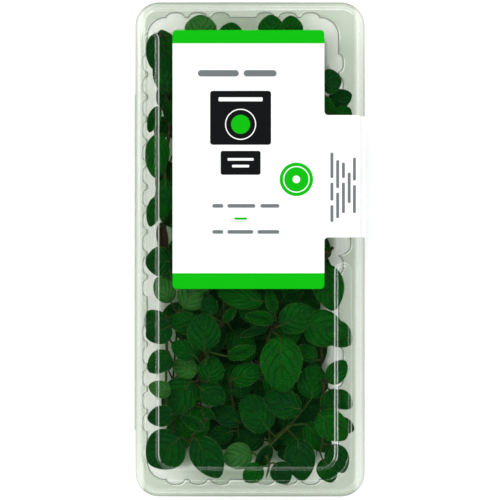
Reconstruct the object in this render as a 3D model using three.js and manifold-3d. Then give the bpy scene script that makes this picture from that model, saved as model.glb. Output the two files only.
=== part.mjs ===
// A clear clamshell punnet filled with cut oregano sprigs and closed with a paper label.
// Millimetres, +Z up. The origin is at the middle of the underside, +Y runs along the punnet,
// and the living hinge is on the -X side.
import * as THREE from 'three';
import { mergeVertices } from 'three/addons/utils/BufferGeometryUtils.js';
import Module from 'manifold-3d';

const wasm = await Module();
wasm.setup();

// ---------------------------------------------------------------- driving dimensions

// Both halves are formed from one clear sheet.
const sheet = 0.6;
const partingZ = 22;
const partingGap = 0.15;
const flange = { left: -46.05, right: 46.6, halfLength: 99.8, corner: 9.5 };
const hinge = { x: -46.6, radius: 0.3, fromY: -73, toY: 62.4 };

// The tub: half sizes of its mouth inside the wall, and how far each level stands in from the mouth.
const tub = {
  centreX: -2.6,
  centreY: 0.35,
  halfX: 38.1,
  halfY: 92.9,
  corner: 7,
  cornerTaper: 0.36,
  mouth: { inset: 0, bulge: 1, z: partingZ - partingGap },
  foot: { inset: 3.4, bulge: 0.75, z: 3.2 },
  floor: { inset: 5.6, bulge: 0.5, z: sheet },
};

// Upright flutes in the tub's wall, and one wider bulge for a thumb in the right wall.
const flute = { pitch: 9.09, halfWidth: 3.5, depth: 1.9, flank: 0.25 };
const thumb = { halfWidth: 4.9, depth: 5 };
const longFlutes = { first: 75, count: 17, missing: 11, thumb: 8 };
const shortFlutes = [-3, -2, -1, 1, 2, 3];

// The lid: how far its wall stands in from the flange's edge at each level.
const lidLevels = {
  skirt: { inset: 1.9, z: partingZ + partingGap },
  shoulder: { inset: 2.9, z: 29.1 },
  top: { inset: 3.9, z: 30 },
};
// The stiffening groove runs down the left side, along the front and part of the way up the right side.
const groove = {
  left: -39.6,
  right: 37.5,
  front: -90.5,
  leftEnd: 84,
  rightEnd: -8.7,
  corner: 8.7,
  mouthHalf: 3.3,
  floorHalf: 2.1,
  depth: 1.5,
};

// Paper label: a sheet on the lid and a tail that is folded over the right edge.
const paper = { thick: 0.25, gap: 0.1, left: -30.7, right: 30, back: 87.7, front: -15.8, corner: 1.6 };
const tail = { back: 53.7, front: 4.8, underReach: 5 };

// Herb: stems are square, blades are thin arched leaves on short stalks.
const stemRadius = 0.75;
const stalkRadius = 0.5;
const stalkHalf = 0.45;
const bladeThick = 0.66;
const clear = 0.35;
const stemStep = 11;

// Leaves of the filling sprigs: the ranges that each trial draws from. Lengths in millimetres or as
// a share of the sprig's leaf size, angles in radians, and rises as a share of the blade's length.
const filling = {
  trials: 30,
  shrink: 0.014,
  taper: 0.28,
  steepestStalk: 1.6,
  turn: [0.4, 1.7],
  stalk: [2, 7.5],
  length: [0.85, 1.1],
  width: [0.74, 0.86],
  pitch: [-0.12, 0.18],
  droop: [-0.16, 0],
  fold: [-0.144, 0.096],
  roll: [-0.15, 0.15],
  sink: [0, 0.9],
};

// How much an uncovered place counts when leaves are chosen, and how much of that is left under
// a leaf that lies deep.
const openness = { window: 4, underLabel: 1, labelMargin: 2, underDeepLeaf: 0.45 };

const colours = {
  plastic: 0xdfe8e2,
  label: 0xf6f7f5,
  leaf: 0x0d4a18,
};

// ---------------------------------------------------------------- solids

// Closes a stack of rings into one solid. All rings have as many points, anticlockwise from above.
function skin(rings) {
  const count = rings[0].length;
  const positions = rings.flat(2);
  const faces = [];
  for (let level = 0; level + 1 < rings.length; level++) {
    for (let i = 0; i < count; i++) {
      const next = (i + 1) % count;
      const a = level * count + i;
      const b = level * count + next;
      faces.push(a, b, b + count, a, b + count, a + count);
    }
  }
  const last = (rings.length - 1) * count;
  const flat = rings[0].map(([x, y]) => new THREE.Vector2(x, y));
  for (const [a, b, c] of THREE.ShapeUtils.triangulateShape(flat, [])) {
    faces.push(a, c, b, last + a, last + b, last + c);
  }
  return solid(positions, faces);
}

function solid(positions, faces) {
  return new wasm.Manifold(
    new wasm.Mesh({
      numProp: 3,
      vertProperties: new Float32Array(positions),
      triVerts: new Uint32Array(faces),
    }),
  );
}

function toMesh(name, body, material) {
  const { vertProperties, triVerts } = body.getMesh();
  const geometry = new THREE.BufferGeometry();
  geometry.setAttribute('position', new THREE.BufferAttribute(vertProperties, 3));
  geometry.setIndex(new THREE.BufferAttribute(triVerts, 1));
  const merged = mergeVertices(geometry, 1e-3);
  merged.computeVertexNormals();
  const mesh = new THREE.Mesh(merged, material);
  mesh.name = name;
  return mesh;
}

// Rounded rectangle, anticlockwise from the start of the front right corner.
function roundedRing({ left, right, front, back, corner }, z, steps = 5) {
  const corners = [
    [right - corner, front + corner, -Math.PI / 2],
    [right - corner, back - corner, 0],
    [left + corner, back - corner, Math.PI / 2],
    [left + corner, front + corner, Math.PI],
  ];
  return corners.flatMap(([x, y, start]) =>
    Array.from({ length: steps + 1 }, (_, i) => {
      const angle = start + (i / steps) * (Math.PI / 2);
      return [x + corner * Math.cos(angle), y + corner * Math.sin(angle), z];
    }),
  );
}

// ---------------------------------------------------------------- tray

// Points of one side of the tub along its length: flat between flutes, pushed out in each flute.
function flutedSide(centres, scale, widen, bulge) {
  const profile = [[-1, 0], [-0.5, 0.92], [0.5, 0.92], [1, 0]];
  return centres.flatMap(({ at, halfWidth, depth }) =>
    profile.map(([along, out]) => [at * scale + along * (halfWidth * scale + widen), out * depth * bulge]),
  );
}

function tubRing({ inset, bulge, z }, offset, level = z) {
  const corner = tub.corner - tub.cornerTaper * inset + offset;
  const halfX = tub.halfX - inset + offset;
  const halfY = tub.halfY - inset + offset;
  const widen = flute.flank * (offset / sheet);
  const plain = { halfWidth: flute.halfWidth, depth: flute.depth };
  const long = [];
  for (let i = longFlutes.count - 1; i >= 0; i--) {
    const at = longFlutes.first - i * flute.pitch;
    if (i !== longFlutes.missing) {
      long.push({ at, ...(i === longFlutes.thumb ? thumb : plain) });
    }
  }
  const right = flutedSide(long, (halfY - corner) / (tub.halfY - tub.corner), widen, bulge);
  const leftFlutes = long.map(({ at }) => ({ at, ...plain }));
  const left = flutedSide(leftFlutes, (halfY - corner) / (tub.halfY - tub.corner), widen, bulge);
  const short = shortFlutes.map((i) => ({ at: i * flute.pitch, ...plain }));
  const ends = flutedSide(short, (halfX - corner) / (tub.halfX - tub.corner), widen, bulge);
  const arc = (x, y, start) =>
    Array.from({ length: 5 }, (_, i) => {
      const angle = start + (i / 4) * (Math.PI / 2);
      return [x + corner * Math.cos(angle), y + corner * Math.sin(angle)];
    });
  const ring = [
    ...arc(halfX - corner, -halfY + corner, -Math.PI / 2),
    ...right.map(([along, out]) => [halfX + out, along]),
    ...arc(halfX - corner, halfY - corner, 0),
    ...ends.toReversed().map(([along, out]) => [along, halfY + out]),
    ...arc(-halfX + corner, halfY - corner, Math.PI / 2),
    ...left.toReversed().map(([along, out]) => [-halfX - out, along]),
    ...arc(-halfX + corner, -halfY + corner, Math.PI),
    ...ends.map(([along, out]) => [along, -halfY - out]),
  ];
  return ring.map(([x, y]) => [x + tub.centreX, y + tub.centreY, level]);
}

function flangeRing(inset, z) {
  return roundedRing(
    {
      left: flange.left + inset,
      right: flange.right - inset,
      front: -flange.halfLength + inset,
      back: flange.halfLength - inset,
      corner: flange.corner - inset,
    },
    z,
  );
}

function makeTray() {
  const { mouth, foot, floor } = tub;
  const underside = 0.55 * sheet;
  const outside = skin([tubRing(floor, underside, 0), tubRing(foot, sheet, 2.95), tubRing(mouth, sheet)]);
  const inside = skin([
    tubRing(floor, 0),
    tubRing(foot, 0),
    tubRing(mouth, 0),
    tubRing(mouth, 0, partingZ + 1),
  ]);
  const rim = skin([flangeRing(0, mouth.z - sheet), flangeRing(0, mouth.z)]);
  return outside.add(rim).subtract(inside);
}

// ---------------------------------------------------------------- lid

// Plan of the U-shaped groove as a band of the given half width.
function grooveRing(half, z) {
  const { left, right, front, leftEnd, rightEnd, corner } = groove;
  const arc = (x, y, radius, start, turn, steps) =>
    Array.from({ length: steps + 1 }, (_, i) => {
      const angle = start + (i / steps) * turn;
      return [x + radius * Math.cos(angle), y + radius * Math.sin(angle), z];
    });
  const quarter = Math.PI / 2;
  return [
    ...arc(left + corner, front + corner, corner + half, Math.PI, quarter, 4),
    ...arc(right - corner, front + corner, corner + half, -quarter, quarter, 4),
    ...arc(right, rightEnd, half, 0, Math.PI, 4),
    ...arc(right - corner, front + corner, corner - half, 0, -quarter, 4),
    ...arc(left + corner, front + corner, corner - half, -quarter, -quarter, 4),
    ...arc(left, leftEnd, half, 0, Math.PI, 4),
  ];
}

function makeLid() {
  const { skirt, shoulder, top } = lidLevels;
  const shell = (grow, lift, from) =>
    skin([
      flangeRing(skirt.inset + grow, from),
      flangeRing(shoulder.inset + grow, shoulder.z - lift),
      flangeRing(top.inset + grow, top.z - lift),
    ]);
  const rim = skin([flangeRing(0, skirt.z), flangeRing(0, skirt.z + sheet)]);
  const cutZ = top.z - groove.depth;
  const above = 0.5;
  const flare = ((groove.mouthHalf - groove.floorHalf) / groove.depth) * above;
  const cut = skin([grooveRing(groove.floorHalf, cutZ), grooveRing(groove.mouthHalf + flare, top.z + above)]);
  const wall = 0.75 * sheet;
  const kept = skin([
    grooveRing(groove.floorHalf + wall, cutZ - sheet),
    grooveRing(groove.mouthHalf + wall + flare, top.z - sheet + above),
  ]);
  const hollow = shell(sheet, sheet, partingZ - 1).subtract(kept);
  return shell(0, 0, skirt.z).add(rim).subtract(hollow).subtract(cut);
}

// ---------------------------------------------------------------- hinge, label and seal

function makeHinge() {
  const length = hinge.toY - hinge.fromY;
  const bead = new THREE.CylinderGeometry(hinge.radius, hinge.radius, length, 8, 1);
  bead.translate(hinge.x, (hinge.fromY + hinge.toY) / 2, partingZ);
  bead.deleteAttribute('normal');
  bead.deleteAttribute('uv');
  const merged = mergeVertices(bead);
  return solid(merged.attributes.position.array, merged.index.array);
}

// A folded strip of paper: the path is its face against the plastic, in X and Z.
function foldedStrip(path, front, back) {
  const normals = path.map((point, i) => {
    const before = path[Math.max(i - 1, 0)];
    const after = path[Math.min(i + 1, path.length - 1)];
    const first = new THREE.Vector2(point[0] - before[0], point[1] - before[1]).normalize();
    const second = new THREE.Vector2(after[0] - point[0], after[1] - point[1]).normalize();
    const ahead = first.clone().add(second).normalize();
    const stretch = 1 / Math.max(ahead.dot(first.lengthSq() > 0 ? first : second), 0.5);
    return [-ahead.y * stretch, ahead.x * stretch];
  });
  const outer = path.map(([x, z], i) => [x + normals[i][0] * paper.thick, z + normals[i][1] * paper.thick]);
  const outline = [...path, ...outer.toReversed()];
  const flat = outline.map(([x, z]) => new THREE.Vector2(x, z));
  const caps = THREE.ShapeUtils.triangulateShape(flat, []);
  const count = outline.length;
  const positions = [front, back].flatMap((y) => outline.flatMap(([x, z]) => [x, y, z]));
  const faces = [];
  for (const [a, b, c] of caps) {
    faces.push(a, b, c, count + a, count + c, count + b);
  }
  for (let i = 0; i < count; i++) {
    const next = (i + 1) % count;
    faces.push(i, count + i, count + next, i, count + next, next);
  }
  return solid(positions, faces);
}

function makeLabel() {
  const { skirt, shoulder, top } = lidLevels;
  const face = top.z + paper.gap;
  const sheetRing = (z) => roundedRing(paper, z, 3);
  const page = skin([sheetRing(face), sheetRing(face + paper.thick)]);
  const edge = flange.right;
  const strip = foldedStrip(
    [
      [paper.right - 1, face],
      [edge - top.inset + 0.05, face],
      [edge - shoulder.inset + paper.gap, shoulder.z + 0.05],
      [edge - skirt.inset + paper.gap, skirt.z + sheet + paper.gap],
      [edge + paper.gap, skirt.z + sheet + paper.gap],
      [edge + paper.gap, skirt.z + 0.1],
    ],
    tail.front,
    tail.back,
  );
  return page.add(strip);
}

function makeSeal() {
  const underside = tub.mouth.z - sheet - paper.gap;
  const edge = flange.right + paper.gap;
  return foldedStrip(
    [
      [edge, tub.mouth.z - 0.1],
      [edge, underside],
      [edge - tail.underReach, underside],
    ],
    tail.front,
    tail.back,
  );
}

// ---------------------------------------------------------------- room inside the punnet

// How deep a point lies inside a rounded rectangle, negative outside it.
function depthInside(x, y, { left, right, front, back, corner }) {
  const dx = Math.abs(x - (left + right) / 2) - (right - left) / 2 + corner;
  const dy = Math.abs(y - (front + back) / 2) - (back - front) / 2 + corner;
  const outside = Math.hypot(Math.max(dx, 0), Math.max(dy, 0));
  return corner - outside - Math.min(Math.max(dx, dy), 0);
}

const lidPlan = {
  left: flange.left,
  right: flange.right,
  front: -flange.halfLength,
  back: flange.halfLength,
  corner: flange.corner,
};
const mouthPlan = {
  left: tub.centreX - tub.halfX,
  right: tub.centreX + tub.halfX,
  front: tub.centreY - tub.halfY,
  back: tub.centreY + tub.halfY,
  corner: tub.corner,
};

// Under the lid the herb may rise to this height.
function lidRoom(x, y) {
  const { skirt, shoulder, top } = lidLevels;
  const inside = depthInside(x, y, lidPlan) - skirt.inset - sheet - 0.7;
  const wallSlope = (shoulder.z - skirt.z) / (shoulder.inset - skirt.inset);
  if (inside < 0.1) {
    return -100;
  }
  const reach = groove.mouthHalf + 1.2;
  const onLeft = Math.abs(x - groove.left) < reach && y < groove.leftEnd + reach;
  const onRight = Math.abs(x - groove.right) < reach && y < groove.rightEnd + reach;
  const onFront = Math.abs(y - groove.front) < reach + 2;
  const under = top.z - sheet - (onLeft || onRight || onFront ? groove.depth : 0);
  return Math.min(under, skirt.z + wallSlope * inside);
}

// Over the tub's floor and wall the herb stays above this height.
function trayRoom(x, y) {
  const inside = depthInside(x, y, mouthPlan) - 0.7;
  const { mouth, foot, floor } = tub;
  if (inside < 0) {
    return mouth.z;
  }
  if (inside < foot.inset) {
    return mouth.z - ((mouth.z - foot.z) * inside) / foot.inset;
  }
  const fall = (inside - foot.inset) / (floor.inset - foot.inset);
  return Math.max(foot.z - (foot.z - floor.z) * fall, floor.z);
}

// Square cells of 1 mm hold the free height at each place, and how open the view down to it is.
const cells = { fromX: -48, fromY: -100, countX: 96, countY: 200 };
const cellOf = (x, y) => {
  const i = Math.min(Math.max(Math.floor(x - cells.fromX), 0), cells.countX - 1);
  const j = Math.min(Math.max(Math.floor(y - cells.fromY), 0), cells.countY - 1);
  return i * cells.countY + j;
};
const ceiling = new Float64Array(cells.countX * cells.countY);
const ground = new Float64Array(cells.countX * cells.countY);
const open = new Float64Array(cells.countX * cells.countY);
for (let i = 0; i < cells.countX; i++) {
  for (let j = 0; j < cells.countY; j++) {
    const x = cells.fromX + i + 0.5;
    const y = cells.fromY + j + 0.5;
    ceiling[i * cells.countY + j] = lidRoom(x, y);
    ground[i * cells.countY + j] = trayRoom(x, y);
    const hidden = depthInside(x, y, paper) > openness.labelMargin;
    open[i * cells.countY + j] = hidden ? openness.underLabel : openness.window;
  }
}

// ---------------------------------------------------------------- leaves and stems

function seededRandom(seed) {
  let state = seed;
  return () => {
    state = (state * 1664525 + 1013904223) % 4294967296;
    return state / 4294967296;
  };
}

// Half width of a rounded, egg-shaped blade, as a share of its widest half.
const bladeHalf = (u) => Math.sin(Math.PI * u ** 0.84) ** 0.58;

// Height of a blade over its base, at u along the midrib and v across it.
function bladeRise(leaf, u, v) {
  const half = (leaf.width / 2) * bladeHalf(u);
  return (
    leaf.length * (leaf.pitch * u + leaf.droop * u * u) +
    half * (leaf.fold * Math.abs(v) + leaf.roll * v)
  );
}

function bladePoint(leaf, u, v) {
  const along = leaf.length * u;
  const across = (leaf.width / 2) * bladeHalf(u) * v;
  const cos = Math.cos(leaf.angle);
  const sin = Math.sin(leaf.angle);
  return [leaf.x + along * cos - across * sin, leaf.y + along * sin + across * cos, bladeRise(leaf, u, v)];
}

// Places all over a blade, under 1 mm apart.
function bladeSamples(leaf) {
  const steps = Math.ceil(leaf.length / 0.8);
  const rows = Math.ceil(leaf.width / 0.8);
  const samples = [];
  for (let i = 0; i <= steps; i++) {
    for (let j = 0; j <= rows; j++) {
      samples.push(bladePoint(leaf, i / steps, 1.06 * (-1 + (2 * j) / rows)));
    }
  }
  return samples;
}

// Lowest and highest height that the base may have, with the blade clear of all that lies around.
function seatRange(leaf) {
  const reach = leaf.thick / 2 + clear;
  let low = -100;
  let high = 100;
  for (const [x, y, rise] of bladeSamples(leaf)) {
    const cell = cellOf(x, y);
    high = Math.min(high, ceiling[cell] - reach - rise);
    low = Math.max(low, ground[cell] + reach - rise);
  }
  return { low, high };
}

function mark(points, reach) {
  return points.map(([x, y, z]) => ({ cell: cellOf(x, y), below: z - reach, above: z + reach }));
}

// What hangs from above lowers the ceiling, and what lies below raises the ground.
function settle(marks, fromBelow) {
  for (const { cell, below, above } of marks) {
    if (fromBelow) {
      ground[cell] = Math.max(ground[cell], above);
    } else {
      ceiling[cell] = Math.min(ceiling[cell], below);
    }
  }
}

function cellsUnder(leaf) {
  return [...new Set(bladeSamples(leaf).map(([x, y]) => cellOf(x, y)))];
}

// What a blade would cover of the open view.
function gainOf(leaf) {
  return cellsUnder(leaf).reduce((sum, cell) => sum + open[cell], 0);
}

function cover(leaf, left) {
  for (const cell of cellsUnder(leaf)) {
    open[cell] *= left;
  }
}

function between(a, b, share) {
  return a.map((value, i) => value + (b[i] - value) * share);
}

function walk(from, to, step) {
  const count = Math.max(1, Math.ceil(Math.hypot(...to.map((value, i) => value - from[i])) / step));
  return Array.from({ length: count + 1 }, (_, i) => between(from, to, i / count));
}

// A point on the smooth curve through the given ones.
function bend(route, share) {
  const place = share * (route.length - 1);
  const index = Math.min(Math.floor(place), route.length - 2);
  const t = place - index;
  const [before, from, to, after] = [-1, 0, 1, 2].map(
    (step) => route[Math.min(Math.max(index + step, 0), route.length - 1)],
  );
  return from.map((value, i) => {
    const slope = (to[i] - before[i]) / 2;
    const nextSlope = (after[i] - value) / 2;
    const gap = to[i] - value;
    const bow = 3 * gap - 2 * slope - nextSlope;
    const twist = slope + nextSlope - 2 * gap;
    return value + t * (slope + t * (bow + t * twist));
  });
}

// Evenly spaced plan points of a stem that bends through the given ones.
function stemPlan(route, spacing) {
  const fine = Array.from({ length: 201 }, (_, i) => bend(route, i / 200));
  const runs = fine.map(([x, y], i) => {
    const [lastX, lastY] = fine[Math.max(i - 1, 0)];
    return Math.hypot(x - lastX, y - lastY);
  });
  const length = runs.reduce((sum, run) => sum + run, 0);
  const count = Math.max(2, Math.round(length / spacing));
  const plan = [fine[0]];
  let walked = 0;
  for (let i = 1; i < fine.length && plan.length < count; i++) {
    walked += runs[i];
    if (walked >= (length * plan.length) / count) {
      plan.push(fine[i]);
    }
  }
  plan.push(fine[200]);
  return plan;
}

// Gives each stem point its height: under the ceiling, on the ground or between the two.
function stemHeights(plan, place) {
  const reach = stemRadius + clear;
  const spans = plan.slice(1).map((point, i) => {
    let low = -100;
    let high = 100;
    for (const [x, y] of walk(plan[i], point, 0.5)) {
      for (const [dx, dy] of [[0, 0], [reach, 0], [-reach, 0], [0, reach], [0, -reach]]) {
        const cell = cellOf(x + dx, y + dy);
        high = Math.min(high, ceiling[cell] - reach);
        low = Math.max(low, ground[cell] + reach);
      }
    }
    return { low, high };
  });
  return plan.map((_, i) => {
    const near = spans.slice(Math.max(i - 1, 0), i + 1);
    const low = Math.max(...near.map((span) => span.low));
    const high = Math.min(...near.map((span) => span.high));
    if (low > high) {
      return null;
    }
    return low + (high - low) * place;
  });
}

// A stem's points along the longest stretch of its route that has room for it.
function stemLine(route, place) {
  const plan = stemPlan(route, stemStep);
  const heights = stemHeights(plan, place);
  let best = [];
  let run = [];
  plan.forEach(([x, y], i) => {
    run = heights[i] === null ? [] : [...run, [x, y, heights[i]]];
    best = run.length > best.length ? run : best;
  });
  return best;
}

function tube(points, radius, endRadius, sides) {
  const up = new THREE.Vector3(0, 0, 1);
  const path = points.map((point) => new THREE.Vector3(...point));
  const rings = path.map((point, i) => {
    const ahead = path[Math.min(i + 1, path.length - 1)].clone().sub(path[Math.max(i - 1, 0)]).normalize();
    const level = Math.abs(ahead.z) > 0.9 ? new THREE.Vector3(1, 0, 0) : up;
    const side = new THREE.Vector3().crossVectors(ahead, level).normalize();
    const top = new THREE.Vector3().crossVectors(side, ahead);
    const size = radius + (endRadius - radius) * (i / (path.length - 1));
    return Array.from({ length: sides }, (_, k) => {
      const angle = (k / sides) * 2 * Math.PI + Math.PI / 4;
      return point
        .clone()
        .addScaledVector(side, size * Math.cos(angle))
        .addScaledVector(top, size * Math.sin(angle))
        .toArray();
    });
  });
  return skinAlong(rings);
}

// Closes rings that follow a path, with flat fans at both ends.
function skinAlong(rings) {
  const count = rings[0].length;
  const faces = [];
  for (let level = 0; level + 1 < rings.length; level++) {
    for (let i = 0; i < count; i++) {
      const a = level * count + i;
      const b = level * count + ((i + 1) % count);
      faces.push(a, b, b + count, a, b + count, a + count);
    }
  }
  const last = (rings.length - 1) * count;
  for (let i = 1; i + 1 < count; i++) {
    faces.push(0, i + 1, i, last, last + i, last + i + 1);
  }
  const body = solid(rings.flat(2), faces);
  return body.volume() > 0 ? body : solid(rings.flat(2), faces.toReversed());
}

// A leaf from the middle of the stem to its tip: a flat stalk that widens into the blade. Its faces
// are a strip along the stalk and a fan about a point on the midrib, alike above and below.
function leafSolid(leaf) {
  const { root, stations } = leaf;
  const base = [leaf.x, leaf.y, leaf.z];
  const ahead = Math.atan2(leaf.y - root[1], leaf.x - root[0]);
  const beside = ([x, y, z], angle, side) => {
    return [x + side * stalkHalf * Math.sin(angle), y - side * stalkHalf * Math.cos(angle), z];
  };
  const onBlade = (u, v) => {
    const [x, y, rise] = bladePoint(leaf, u, v);
    return [x, y, leaf.z + rise];
  };
  const stalk = [beside(root, ahead, -1), beside(root, ahead, 1), beside(base, leaf.angle, 1)];
  const blade = [
    ...stations.map((u) => onBlade(u, -1)),
    onBlade(1, 0),
    ...stations.toReversed().map((u) => onBlade(u, 1)),
  ];
  const points = [...stalk, ...blade, beside(base, leaf.angle, -1), onBlade(0.5, 0)];
  const rim = points.length - 1;
  const top = [[0, 1, 2], [0, 2, rim - 1], [rim, rim - 1, 2]];
  for (let i = 2; i + 1 < rim; i++) {
    top.push([rim, i, i + 1]);
  }
  const below = points.length;
  const faces = top.flatMap(([a, b, c]) => [a, b, c, below + a, below + c, below + b]);
  for (let i = 0; i < rim; i++) {
    const next = (i + 1) % rim;
    faces.push(i, below + i, below + next, i, below + next, next);
  }
  const slope = (leaf.z - root[2]) / Math.hypot(leaf.x - root[0], leaf.y - root[1]);
  const stalkLift = (bladeThick / 2) * Math.hypot(1, slope);
  const layer = (side) =>
    points.map(([x, y, z], i) => [x, y, z + side * (i < 2 ? stalkLift : leaf.thick / 2)]);
  return solid([...layer(1), ...layer(-1)].flat(2), faces);
}

function makeLeaf(x, y, angle, length, width, shape) {
  const steep = Math.hypot(1, shape.pitch + shape.droop, shape.fold);
  return { x, y, z: 0, angle, length, width, thick: bladeThick * steep, ...shape };
}

// ---------------------------------------------------------------- sprigs

// Sprigs that lie against the lid: the stem's route, and each leaf as the plan place of
// its base and its tip with its width.
const lidSprigs = [
  {
    stem: [[11.2, -29.3], [5.9, -38.6], [2.7, -47.9], [1.1, -60]],
    leaves: [
      [12.2, -35, 13.6, -57.4, 17],
      [12.2, -30.7, 25.7, -24.1, 12.1],
      [10, -28.5, -1.4, -26.5, 5.7],
      [10, -25.3, 7.5, -15.6, 4.8],
      [7.5, -30.9, -3.8, -35, 3.6],
    ],
  },
  {
    stem: [[30.2, -52], [29.4, -64.9], [29.4, -77], [27.7, -88.3]],
    leaves: [
      [27.7, -65.7, 39, -76.2, 12.1],
      [32.6, -78.6, 38.2, -89.5, 9.7],
      [31.8, -53.6, 38.6, -44.7, 8.1],
      [31, -65.7, 34.6, -56, 8.1],
    ],
  },
  {
    stem: [[5.1, -80.2], [8.3, -87.5], [6.7, -92]],
    leaves: [
      [10.4, -85.9, 15.6, -94, 8.9],
      [5.1, -87.1, -2.2, -93, 8.1],
    ],
  },
  {
    stem: [[-33.5, -20.4], [-33.2, -36.6], [-33.5, -52.8], [-33.2, -70.5]],
    leaves: [
      [-31.5, -30.5, -41.4, -35.4, 11],
      [-32.1, -41.5, -40.4, -49.1, 9],
      [-31.5, -57.4, -40.5, -54.8, 7],
      [-30.5, -66.1, -41, -68.1, 8.5],
    ],
  },
  {
    stem: [[-17.5, -68.1], [-22.4, -73.8], [-25.6, -81.9], [-26.4, -90.7]],
    leaves: [
      [-27.6, -75.4, -40.5, -86.3, 17],
      [-21.6, -75.8, -11.9, -91.5, 12.9],
      [-18.3, -72.2, -27.2, -66.9, 4.8],
    ],
  },
  {
    stem: [[-7.8, -25.3], [-13.5, -32.6], [-16.7, -41.5], [-17.9, -47.1]],
    leaves: [
      [-17.9, -40.6, -18.9, -25.7, 13.3],
      [5.4, -21.3, -12.7, -17.2, 8.9],
      [-19.1, -30.9, -32.9, -28.5, 8.9],
      [-15.1, -26.9, -17.5, -18, 6.9],
      [-8.6, -43.1, 2.7, -39.4, 5.7],
      [-10.2, -29.3, -5.4, -22.9, 3.6],
    ],
  },
  {
    stem: [[-19.1, -41.5], [-20.7, -52], [-24, -61.7], [-27.2, -72]],
    leaves: [
      [-23.4, -53.2, -34.1, -65.7, 14.1],
      [-17.1, -53.6, -13.5, -43.5, 10.5],
      [-20.7, -55.2, -10.2, -61.7, 9.7],
      [-21.6, -43.1, -31.2, -37.8, 8.1],
      [-21.1, -49.5, -31.2, -46.3, 8.9],
      [-19.1, -64.1, -14.3, -68.5, 3.6],
    ],
  },
  {
    stem: [[33.4, -57.6], [27.7, -62.1], [18.8, -69.3], [9.6, -78.2], [2.7, -87.5]],
    leaves: [
      [24.9, -60.4, 26.5, -46.3, 12.5],
      [20.9, -64.9, 5.9, -59.2, 11.7],
      [7.9, -73, -2.3, -59.2, 13.3],
      [19.3, -76.6, 21.7, -93.2, 12.5],
      [22.9, -70.5, 32.6, -81.9, 9.7],
      [8.7, -79.4, 2.7, -89.1, 5.7],
      [1.1, -81.9, -10.6, -85.1, 10.9],
    ],
  },
  {
    stem: [[37.6, 5], [34, 1], [30.6, -3], [28.6, -14]],
    leaves: [
      [30, -5.9, 33.8, -24.6, 12.6],
      [29.5, 0, 23.5, 6.2, 8],
    ],
  },
  {
    stem: [[27.7, -18.8], [28.9, -32.6], [29.4, -47.1]],
    leaves: [
      [21.9, -29.3, 38.8, -34.8, 15],
      [26.9, -44.7, 20.1, -39, 6.5],
    ],
  },
  {
    stem: [[-8.6, -48.7], [-7, -60.8], [-4.6, -73], [-3.8, -84.3]],
    leaves: [
      [-7.4, -52.8, 5.1, -47.9, 8.9],
      [-7.8, -57.6, 1.1, -55.2, 6.5],
      [-3.4, -70.5, -15.5, -64.5, 8.1],
      [-7, -73.8, -16.7, -77.8, 7.3],
    ],
  },
  {
    stem: [[-21.6, 83], [-5.8, 81.4], [17.2, 83]],
    leaves: [
      [-19.5, 84.2, -19.5, 94, 12.9],
      [8.7, 84.2, 8.7, 94, 10.5],
      [16.8, 84.2, 16.8, 94, 9.7],
      [-7.8, 82.8, -7, 91.1, 10.1],
    ],
  },
  {
    stem: [[-32, 50], [-34.5, 24], [-33, -8]],
    leaves: [
      [-36.6, 46.5, -37.8, 28.8, 10],
      [-33.6, 28.4, -34.8, 12.1, 7.8],
      [-37, 21.4, -40, 9.2, 6],
      [-31.5, -4.7, -42, -5.1, 12],
      [-35.9, 10.6, -34.2, -2.3, 4.8],
    ],
  },
  {
    stem: [[-29.5, 86], [-34, 68], [-33, 49]],
    leaves: [
      [-37.6, 86.8, -38.6, 72.5, 7],
      [-32.5, 62.4, -35.6, 80.6, 10],
      [-31.3, 77.5, -36, 88.4, 8.5],
      [-36.4, 57.5, -40.4, 47.2, 5],
      [-33, 60.4, -29.6, 50.3, 7],
    ],
  },
  {
    stem: [[27.7, 79.7], [26.1, 60.4], [28.5, 34.5]],
    leaves: [
      [28.6, 66.8, 37, 68, 10.1],
      [28.1, 61.6, 33.8, 53.9, 6],
      [29.4, 40.2, 37.8, 37.7, 10.5],
    ],
  },
];

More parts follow.
